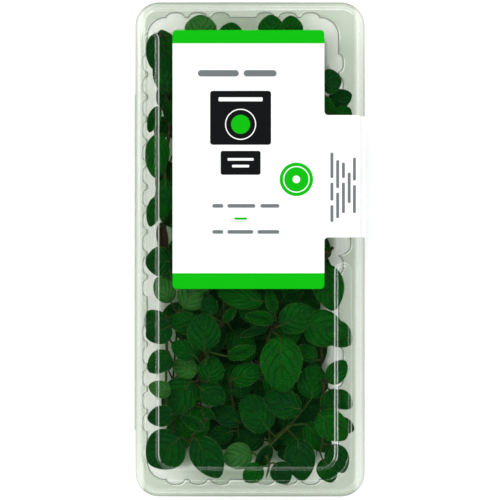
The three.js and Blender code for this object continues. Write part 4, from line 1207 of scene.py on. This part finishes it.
# Seats a leaf close to what it lies on or hangs from, and says if it finds room there.
def seat(leaf, fromBelow):
    low, high = seatRange(leaf)
    leaf["z"] = min(low + leaf["sink"], high) if fromBelow else max(high - leaf["sink"], low)
    root = leaf["root"]
    steep = abs(leaf["z"] - root[2]) / math.hypot(leaf["x"] - root[0], leaf["y"] - root[1])
    if low > high or steep >= filling["steepestStalk"]:
        return False
    return fits(root, stalkEnd(leaf), herb["stalkRadius"])


# The stem is laid first and leaves in opposite pairs turn out from it into the free room. Of a
# leaf's trials, the one that covers most is kept.
def layFillingSprig(sprig, draws):
    fromBelow = sprig["share"] < 0.5
    line = stemLine(sprig["stem"], sprig["share"])
    grown = []
    for i in range(sprig["leaves"]):
        along = (i // 2 + filling["firstPair"]) / (sprig["leaves"] / 2 + filling["pastLast"])
        at = along * (len(line) - 1)
        index = min(math.floor(at), len(line) - 2)
        start, end = line[index], line[index + 1]
        root = between(start, end, at - index)
        ahead = math.atan2(end[1] - start[1], end[0] - start[0])
        best, most = None, 0
        for trial in range(filling["trials"]):
            longest = sprig["size"] * (1 - filling["taper"] * along) * (1 - filling["shrink"] * trial)
            leaf = drawLeaf(root, ahead, 1 if i % 2 else -1, longest, draws)
            gain = gainOf(leaf) if seat(leaf, fromBelow) else 0
            if gain > most:
                best, most = leaf, gain
        if best is not None:
            cover(best, openness["underDeepLeaf"] if fromBelow else 0)
            settle(mark(bladePlaces(best), best["thick"] / 2), fromBelow)
            grown.append(best)
    for leaf in grown:
        settleStalk(leaf, fromBelow)
    settleStem(line, fromBelow)
    return {"line": line, "leaves": grown}


# Sprigs that lie against the lid: the stem's route, and each leaf as the plan places of its base and
# its tip with its width.
lidSprigs = [
    {"stem": [[11.2, -29.3], [5.9, -38.6], [2.7, -47.9], [1.1, -60]], "leaves": [
        [12.2, -35, 13.6, -57.4, 17], [12.2, -30.7, 25.7, -24.1, 12.1], [10, -28.5, -1.4, -26.5, 5.7],
        [10, -25.3, 7.5, -15.6, 4.8], [7.5, -30.9, -3.8, -35, 3.6],
    ]},
    {"stem": [[30.2, -52], [29.4, -64.9], [29.4, -77], [27.7, -88.3]], "leaves": [
        [27.7, -65.7, 39, -76.2, 12.1], [32.6, -78.6, 38.2, -89.5, 9.7],
        [31.8, -53.6, 38.6, -44.7, 8.1], [31, -65.7, 34.6, -56, 8.1],
    ]},
    {"stem": [[5.1, -80.2], [8.3, -87.5], [6.7, -92]], "leaves": [
        [10.4, -85.9, 15.6, -94, 8.9], [5.1, -87.1, -2.2, -93, 8.1],
    ]},
    {"stem": [[-33.5, -20.4], [-33.2, -36.6], [-33.5, -52.8], [-33.2, -70.5]], "leaves": [
        [-31.5, -30.5, -41.4, -35.4, 11], [-32.1, -41.5, -40.4, -49.1, 9],
        [-31.5, -57.4, -40.5, -54.8, 7], [-30.5, -66.1, -41, -68.1, 8.5],
    ]},
    {"stem": [[-17.5, -68.1], [-22.4, -73.8], [-25.6, -81.9], [-26.4, -90.7]], "leaves": [
        [-27.6, -75.4, -40.5, -86.3, 17], [-21.6, -75.8, -11.9, -91.5, 12.9],
        [-18.3, -72.2, -27.2, -66.9, 4.8],
    ]},
    {"stem": [[-7.8, -25.3], [-13.5, -32.6], [-16.7, -41.5], [-17.9, -47.1]], "leaves": [
        [-17.9, -40.6, -18.9, -25.7, 13.3], [5.4, -21.3, -12.7, -17.2, 8.9],
        [-19.1, -30.9, -32.9, -28.5, 8.9], [-15.1, -26.9, -17.5, -18, 6.9],
        [-8.6, -43.1, 2.7, -39.4, 5.7], [-10.2, -29.3, -5.4, -22.9, 3.6],
    ]},
    {"stem": [[-19.1, -41.5], [-20.7, -52], [-24, -61.7], [-27.2, -72]], "leaves": [
        [-23.4, -53.2, -34.1, -65.7, 14.1], [-17.1, -53.6, -13.5, -43.5, 10.5],
        [-20.7, -55.2, -10.2, -61.7, 9.7], [-21.6, -43.1, -31.2, -37.8, 8.1],
        [-21.1, -49.5, -31.2, -46.3, 8.9], [-19.1, -64.1, -14.3, -68.5, 3.6],
    ]},
    {"stem": [[33.4, -57.6], [27.7, -62.1], [18.8, -69.3], [9.6, -78.2], [2.7, -87.5]], "leaves": [
        [24.9, -60.4, 26.5, -46.3, 12.5], [20.9, -64.9, 5.9, -59.2, 11.7],
        [7.9, -73, -2.3, -59.2, 13.3], [19.3, -76.6, 21.7, -93.2, 12.5],
        [22.9, -70.5, 32.6, -81.9, 9.7], [8.7, -79.4, 2.7, -89.1, 5.7],
        [1.1, -81.9, -10.6, -85.1, 10.9],
    ]},
    {"stem": [[37.6, 5], [34, 1], [30.6, -3], [28.6, -14]], "leaves": [
        [30, -5.9, 33.8, -24.6, 12.6], [29.5, 0, 23.5, 6.2, 8],
    ]},
    {"stem": [[27.7, -18.8], [28.9, -32.6], [29.4, -47.1]], "leaves": [
        [21.9, -29.3, 38.8, -34.8, 15], [26.9, -44.7, 20.1, -39, 6.5],
    ]},
    {"stem": [[-8.6, -48.7], [-7, -60.8], [-4.6, -73], [-3.8, -84.3]], "leaves": [
        [-7.4, -52.8, 5.1, -47.9, 8.9], [-7.8, -57.6, 1.1, -55.2, 6.5],
        [-3.4, -70.5, -15.5, -64.5, 8.1], [-7, -73.8, -16.7, -77.8, 7.3],
    ]},
    {"stem": [[-21.6, 83], [-5.8, 81.4], [17.2, 83]], "leaves": [
        [-19.5, 84.2, -19.5, 94, 12.9], [8.7, 84.2, 8.7, 94, 10.5], [16.8, 84.2, 16.8, 94, 9.7],
        [-7.8, 82.8, -7, 91.1, 10.1],
    ]},
    {"stem": [[-32, 50], [-34.5, 24], [-33, -8]], "leaves": [
        [-36.6, 46.5, -37.8, 28.8, 10], [-33.6, 28.4, -34.8, 12.1, 7.8], [-37, 21.4, -40, 9.2, 6],
        [-31.5, -4.7, -42, -5.1, 12], [-35.9, 10.6, -34.2, -2.3, 4.8],
    ]},
    {"stem": [[-29.5, 86], [-34, 68], [-33, 49]], "leaves": [
        [-37.6, 86.8, -38.6, 72.5, 7], [-32.5, 62.4, -35.6, 80.6, 10], [-31.3, 77.5, -36, 88.4, 8.5],
        [-36.4, 57.5, -40.4, 47.2, 5], [-33, 60.4, -29.6, 50.3, 7],
    ]},
    {"stem": [[27.7, 79.7], [26.1, 60.4], [28.5, 34.5]], "leaves": [
        [28.6, 66.8, 37, 68, 10.1], [28.1, 61.6, 33.8, 53.9, 6], [29.4, 40.2, 37.8, 37.7, 10.5],
    ]},
]

# Sprigs that fill the rest, each from its cut end to its tip. The share says where the stem lies
# between what is below it and what is above it, and the size is that of its longest leaf.
fillingSprigs = [
    {"stem": [[-24, 82], [-27, 50], [-22, 4]], "share": 0.05, "leaves": 10, "size": 20},
    {"stem": [[-2, 2], [2, 44], [-3, 84]], "share": 0.05, "leaves": 10, "size": 20},
    {"stem": [[22, 84], [19, 50], [23, 2]], "share": 0.05, "leaves": 10, "size": 20},
    {"stem": [[-22, -18], [-19, -50], [-23, -84]], "share": 0.05, "leaves": 10, "size": 20},
    {"stem": [[0, -84], [2, -50], [-1, -18]], "share": 0.05, "leaves": 10, "size": 20},
    {"stem": [[21, -18], [18, -50], [22, -84]], "share": 0.05, "leaves": 10, "size": 20},
    {"stem": [[12, 76], [-4, 50], [8, 14]], "share": 0.1, "leaves": 8, "size": 20},
    {"stem": [[-12, -78], [-14, -50], [-10, -14]], "share": 0.1, "leaves": 8, "size": 20},
    {"stem": [[-30, -88], [-31, -56], [-28, -20]], "share": 1, "leaves": 10, "size": 19},
    {"stem": [[-10, -20], [-12, -54], [-9, -86]], "share": 1, "leaves": 10, "size": 19},
    {"stem": [[9, -86], [7, -52], [10, -20]], "share": 1, "leaves": 10, "size": 19},
    {"stem": [[28, -20], [29, -54], [27, -86]], "share": 1, "leaves": 10, "size": 19},
    {"stem": [[-30, 80], [-30, 40], [-30, -12]], "share": 1, "leaves": 12, "size": 16},
    {"stem": [[27, -6], [29, 28], [28, 64]], "share": 0.95, "leaves": 10, "size": 16},
    {"stem": [[-14, 80], [-11, 55], [-16, 28]], "share": 1, "leaves": 8, "size": 20},
    {"stem": [[12, 22], [16, 48], [11, 76]], "share": 1, "leaves": 8, "size": 20},
    {"stem": [[-12, 24], [-15, 2], [-10, -16]], "share": 1, "leaves": 6, "size": 20},
    {"stem": [[14, 16], [12, -2], [16, -16]], "share": 1, "leaves": 6, "size": 20},
    {"stem": [[-6, 70], [-2, 40], [-8, 10]], "share": 1, "leaves": 8, "size": 20},
    {"stem": [[-2, -84], [-6, -52], [0, -18]], "share": 0.9, "leaves": 8, "size": 18},
    {"stem": [[-24, 14], [-16, 44], [-22, 74]], "share": 0.9, "leaves": 8, "size": 19},
]

draws = seededDraws(herb["seed"])
sprigs = [layLidSprig(sprig, draws) for sprig in lidSprigs]
nearLid = len(sprigs)
sprigs += [layFillingSprig(sprig, draws) for sprig in fillingSprigs]
print("sprigs placed:", len(sprigs), "with", sum(len(sprig["leaves"]) for sprig in sprigs), "leaves")

# How the leaves are finished. One leaf has dried: its sprig's number and its place on that sprig.
blade = {
    "along": 18, "across": 10, "farAlong": 12, "farAcross": 6, "thick": 0.3,
    "veinPairs": 5.2, "veinSweep": 0.3, "veinBow": 1.35, "quilt": 0.11, "quiltReach": 1.1,
    "curl": 0.035, "wave": 0.22, "waveTurn": 9, "waveShift": 1.7,
    "sprigTone": (0.1, 0.5), "toneSpread": 0.5, "toneMiddle": 0.4, "dried": (13, 4), "turnedShare": 0.06,
    "waveStart": 6.3, "seed": 700, "endWithin": 1e-4, "mergeWithin": 0.02, "sharpFrom": 60,
}
# Shares of the stem's radius at its cut end and its tip, for sprigs near the lid and deeper ones, how
# it narrows to the bud over its last rings, and where along its midrib a stalk runs into the blade.
shoot = {
    "sides": 8, "step": 1.6, "stub": 5, "stemShare": (0.86, 0.52), "farShare": (0.66, 0.4), "square": 0.14,
    "budShares": (0.25, 0.6, 0.85), "stalkRadius": 0.4, "stalkEnd": 0.14, "stalkSteps": 9,
    "ribPlaces": (0, 0.16, 0.34), "age": 0.4, "tipAge": 0.3, "stalkAge": 0.2, "upright": 0.05,
}


# The finished face of a blade: its margins curl down a little and it swells between the veins.
def bladeSurface(leaf, s, v, phase):
    u = (1 - math.cos(math.pi * s)) / 2
    x, y, rise = bladePoint(leaf, u, v)
    across = abs(v)
    middle = math.sin(math.pi * u)
    bow = s - blade["veinSweep"] * across ** blade["veinBow"]
    swell = 0.5 - 0.5 * math.cos(2 * math.pi * bow * blade["veinPairs"])
    inner = math.sin(math.pi * min(across * blade["quiltReach"], 1)) * middle
    rise += blade["quilt"] * swell * inner
    rise -= leaf["width"] * blade["curl"] * across ** 4 * middle
    turn = blade["waveTurn"] * u + phase + (blade["waveShift"] if v > 0 else 0)
    rise += blade["wave"] * across ** 3 * math.sin(turn) * middle
    return Vector((x, y, leaf["z"] + rise))


# A turned blade shows its pale back. Both ends of the grid are drawn together to a point.
def growBlade(bm, leaf, tone, phase, fine, turned):
    along, across = (blade[key] for key in (("along", "across") if fine else ("farAlong", "farAcross")))
    tones = bm.verts.layers.float["leafTone"]
    made = bmesh.ops.create_grid(bm, x_segments=along, y_segments=across, size=1, calc_uvs=True)["verts"]
    if turned:
        bmesh.ops.reverse_faces(bm, faces=list({face for corner in made for face in corner.link_faces}))
    ends = []
    for corner in made:
        s = (corner.co.x + 1) / 2
        if min(s, 1 - s) < blade["endWithin"]:
            ends.append(corner)
        corner.co = bladeSurface(leaf, s, corner.co.y, phase)
        corner[tones] = tone
    bmesh.ops.remove_doubles(bm, verts=ends, dist=blade["mergeWithin"])


# Rings of a bar that follows a path, each square to it. Its tone changes along it.
def growBar(bm, path, radii, startTone, endTone, squareness=0.0):
    tones = bm.verts.layers.float["leafTone"]
    sides = shoot["sides"]
    ring = None
    for i, (point, radius) in enumerate(zip(path, radii)):
        ahead = (path[min(i + 1, len(path) - 1)] - path[max(i - 1, 0)]).normalized()
        side = ahead.cross(Vector((0, 0, 1)))
        side = side.normalized() if side.length > shoot["upright"] else Vector((1, 0, 0))
        top = side.cross(ahead)
        points = []
        for k in range(sides):
            angle = 2 * math.pi * (k + 0.5) / sides
            size = radius * (1 + squareness * abs(math.sin(2 * angle)))
            points.append(point + side * size * math.cos(angle) + top * size * math.sin(angle))
        if ring is None:
            first = ring = startLoop(bm, points)
        else:
            ring = nextLoop(bm, ring, points)
        for edge in ring:
            for corner in edge.verts:
                corner[tones] = startTone + (endTone - startTone) * i / (len(path) - 1)
    for edges in (first, ring):
        bmesh.ops.contextual_create(bm, geom=edges)


# A smooth path along a stem that rises no higher and sinks no lower than the points it passes.
def smoothPath(line, step):
    count = max(2, round(sum(math.dist(a, b) for a, b in zip(line, line[1:])) / step))
    path = []
    for i in range(count + 1):
        x, y, z = bend(line, i / count)
        index = min(math.floor(i / count * (len(line) - 1)), len(line) - 2)
        low, high = sorted((line[index][2], line[index + 1][2]))
        path.append(Vector((x, y, min(max(z, low), high))))
    return path


# Short tapered hairs: a fringe along each blade's margin, a thin scatter over its face and some on
# the stem. Each is sunk a little into what it grows from. A pair of numbers is a start and how much
# a draw adds to it.
hair = {
    "radius": 0.035, "tipShare": 0.25, "sunk": 0.06, "shortest": 0.5,
    "fringe": 80, "fringeLength": 0.62, "fringeRun": (0.1, 0.87), "fringeFrom": 0.85, "fringeLean": 0.5,
    "fringeRise": (-0.4, 0.5), "face": 90, "faceLength": 0.3, "faceRun": (0.1, 0.85), "faceHalf": 0.9,
    "faceRise": 0.3, "stemPerPoint": 5, "stemRise": 0.6, "stemShare": 0.4,
}


def drawn(pair, draws):
    return pair[0] + pair[1] * next(draws)


def growHair(bm, root, lean, length):
    turn = lean.to_track_quat("Z", "Y").to_matrix().to_4x4()
    middle = Matrix.Translation(root + lean.normalized() * (length / 2 - hair["sunk"]))
    bmesh.ops.create_cone(
        bm, cap_ends=True, cap_tris=True, segments=3, radius1=hair["radius"],
        radius2=hair["radius"] * hair["tipShare"], depth=length, matrix=middle @ turn,
    )


def growLeafHairs(bm, leaf, phase, draws):
    shortest, longer = hair["shortest"], 1 - hair["shortest"]
    forward = Vector((math.cos(leaf["angle"]), math.sin(leaf["angle"]), 0))
    for i in range(hair["fringe"]):
        side = 1 if i % 2 else -1
        s = drawn(hair["fringeRun"], draws)
        edge, inner = (bladeSurface(leaf, s, side * across, phase) for across in (1, hair["fringeFrom"]))
        lean = (edge - inner).normalized() + forward * (hair["fringeLean"] * next(draws))
        lean += Vector((0, 0, drawn(hair["fringeRise"], draws)))
        growHair(bm, edge, lean, hair["fringeLength"] * (shortest + longer * next(draws)))
    for i in range(hair["face"]):
        s = drawn(hair["faceRun"], draws)
        root = bladeSurface(leaf, s, hair["faceHalf"] * (2 * next(draws) - 1), phase)
        root.z += blade["thick"] / 2
        lean = Vector((next(draws) - 0.5, next(draws) - 0.5, hair["faceRise"]))
        growHair(bm, root, lean, hair["faceLength"] * (shortest + longer * next(draws)))


def growStemHairs(bm, path, radius, draws):
    for point in path:
        for i in range(hair["stemPerPoint"]):
            angle = 2 * math.pi * next(draws)
            lean = Vector((math.cos(angle), math.sin(angle), hair["stemRise"] * next(draws)))
            root = point + lean.normalized() * radius
            growHair(bm, root, lean, hair["fringeLength"] * hair["stemShare"] * (1 + next(draws)))


# The stretch of a stem between its outermost leaves, with a short stub past each of them.
def leafyStretch(path, leaves):
    roots = [Vector(leaf["root"]) for leaf in leaves]
    near = [i for i, point in enumerate(path) if min((point - root).length for root in roots) < shoot["stub"]]
    return path[near[0]:near[-1] + 1]


# The slots of a sprig's piece: 0 for the blades' faces, 1 for their backs, and these.
stemSlot, hairSlot = 2, 3


def startHerb():
    bm = bmesh.new()
    bm.verts.layers.float.new("leafTone")
    bm.loops.layers.uv.new("leafMap")
    return bm


# The blades of a sprig, as a piece of its own, and how far on each blade's margin is in its waves.
def growBlades(number, sprig, fine, draws):
    bm = startHerb()
    sprigTone = drawn(blade["sprigTone"], draws)
    phases = []
    for index, leaf in enumerate(sprig["leaves"]):
        tone = sprigTone + blade["toneSpread"] * (next(draws) - blade["toneMiddle"])
        tone = min(max(tone, 0), 1)
        if (number, index) == blade["dried"]:
            tone = leafSkin["dryTone"]
        phases.append(blade["waveStart"] * next(draws))
        growBlade(bm, leaf, tone, phases[-1], fine, turned=next(draws) < blade["turnedShare"])
    piece = makePiece(f"herbSprig_{number:02d}", bm, [leafFace, leafBack, stemSkin, leafHair])
    thicken(piece, blade["thick"], 0, backMaterial=1)
    return piece, phases


# A leaf's stalk runs from its root on the stem into the blade, along its midrib.
def growStalk(bm, leaf, age):
    steps, thick, thin = shoot["stalkSteps"], shoot["stalkRadius"], shoot["stalkEnd"]
    base = Vector((0, 0, leaf["z"]))
    route = [Vector(leaf["root"])] + [Vector(bladePoint(leaf, u, 0)) + base for u in shoot["ribPlaces"]]
    stalk = [Vector(bend(route, i / steps)) for i in range(steps + 1)]
    growBar(bm, stalk, [thick + (thin - thick) * i / steps for i in range(steps + 1)], age, 1.0)


def growSprig(number, sprig, fine):
    draws = seededDraws(blade["seed"] + number)
    piece, phases = growBlades(number, sprig, fine, draws)
    bars = startHerb()
    path = leafyStretch(smoothPath(sprig["line"], shoot["step"]), sprig["leaves"])
    thick, thin = (herb["stemRadius"] * share for share in shoot["stemShare" if fine else "farShare"])
    radii = [thick + (thin - thick) * i / (len(path) - 1) for i in range(len(path))]
    for i, share in enumerate(shoot["budShares"]):
        radii[-1 - i] *= share
    age = shoot["age"] * next(draws)
    growBar(bars, path, radii, age, age + shoot["tipAge"], squareness=shoot["square"])
    for leaf in sprig["leaves"]:
        growStalk(bars, leaf, age + shoot["stalkAge"] * next(draws))
    for face in bars.faces:
        face.material_index = stemSlot
    if fine:
        barFaces = len(bars.faces)
        for leaf, phase in zip(sprig["leaves"], phases):
            growLeafHairs(bars, leaf, phase, draws)
        growStemHairs(bars, path, thin, draws)
        bars.faces.ensure_lookup_table()
        for face in bars.faces[barFaces:]:
            face.material_index = hairSlot
    bmesh.ops.recalc_face_normals(bars, faces=bars.faces)
    bmesh.ops.scale(bars, vec=(mm, mm, mm), verts=bars.verts)
    bars.from_mesh(piece.data)
    bars.to_mesh(piece.data)
    bars.free()
    smoothShade(piece, blade["sharpFrom"])
    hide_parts(f"sprig_{number:02d}")
    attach(piece, "tray")


for index, sprig in enumerate(sprigs):
    growSprig(index + 1, sprig, fine=index < nearLid)
print("sprigs grown")


# Pale floor and soft light: a large soft box high on the far left, weaker ones around it, and a studio
# that is pale at the walls and dark overhead. The boxes hang high, so that the lid mirrors none of
# them towards someone who looks at it from low down.
studio = {
    "floorSize": 9.0, "floorDrop": 0.0002, "floorGlow": 0.3,
    "patches": 6.0, "shades": (0.93, 0.95), "roughness": 0.9, "mirror": 0.1,
    # Half sizes of the ground under the tub that gets no glow, a painted shadow, and of the ground
    # around it where the glow is full again.
    "paintedShadowHalf": (0.03, 0.085), "shadowFadeHalf": (0.04, 0.096),
    "walls": 0.75, "wallTop": 0.35, "ceiling": 0.015, "ceilingFrom": 0.92,
    # Where each lamp stands, its size in metres, its power and how warm it is.
    "lamps": [
        ("keyBox", (-0.8, 0.65, 1.55), 1.4, 19.5, (1.0, 0.99, 0.97)),
        ("fillBox", (0.95, -0.55, 1.4), 1.2, 10, (0.97, 0.99, 1.0)),
        ("backBox", (0.4, 1.1, 1.35), 1.0, 7, (1.0, 1.0, 1.0)),
        ("frontBox", (-0.35, -1.15, 1.25), 1.0, 5.5, (1.0, 1.0, 1.0)),
    ],
}


def floorMaterial():
    material, tree, place = startMaterial("studioFloor")
    shade = spread(tree, noise(tree, place, studio["patches"]), 0.0, 1.0, *studio["shades"])
    parts = put(tree, "ShaderNodeSeparateXYZ", {0: place}).outputs
    # The floor glows evenly, except under the tub, where the glow fades out to a painted shadow.
    under = []
    for axis, unlit, lit in zip("XY", studio["paintedShadowHalf"], studio["shadowFadeHalf"]):
        under.append(spread(tree, calc(tree, "ABSOLUTE", parts[axis]), unlit, lit, 1.0, 0.0, smooth=True))
    glow = calc(tree, "SUBTRACT", 1.0, times(tree, *under))
    glow = times(tree, glow, studio["floorGlow"])
    more = {"Emission Color": (1, 1, 1, 1), "Emission Strength": glow}
    setSkin(tree, shade, studio["roughness"], studio["mirror"], more)
    return material


def makeStudio():
    bm = bmesh.new()
    bmesh.ops.create_grid(bm, x_segments=1, y_segments=1, size=studio["floorSize"] / 2)
    mesh = bpy.data.meshes.new("studioFloor")
    bm.to_mesh(mesh)
    bm.free()
    mesh.materials.append(floorMaterial())
    floor = bpy.data.objects.new("studioFloor", mesh)
    scene.collection.objects.link(floor)
    floor.location.z = -studio["floorDrop"]
    for name, place, size, power, tint in studio["lamps"]:
        lamp = bpy.data.lights.new(name, "AREA")
        lamp.size = size
        lamp.energy = power
        lamp.color = tint
        box = bpy.data.objects.new(name, lamp)
        box.location = place
        box.rotation_euler = (-Vector(place)).to_track_quat("-Z", "Y").to_euler()
        scene.collection.objects.link(box)
    world = bpy.data.worlds.new("studio")
    world.use_nodes = True
    world.node_tree.nodes.clear()
    tree = world.node_tree
    way = put(tree, "ShaderNodeSeparateXYZ", {0: put(tree, "ShaderNodeTexCoord", {}).outputs["Generated"]})
    heights = (studio["wallTop"], studio["ceilingFrom"])
    shade = spread(tree, way.outputs["Z"], *heights, studio["walls"], studio["ceiling"], smooth=True)
    glow = put(tree, "ShaderNodeBackground", {"Color": shade, "Strength": 1.0})
    put(tree, "ShaderNodeOutputWorld", {"Surface": glow.outputs[0]})
    scene.world = world
    scene.view_settings.view_transform = "Standard"
    scene.cycles.transparent_max_bounces = 32


makeStudio()
print("studio lit")
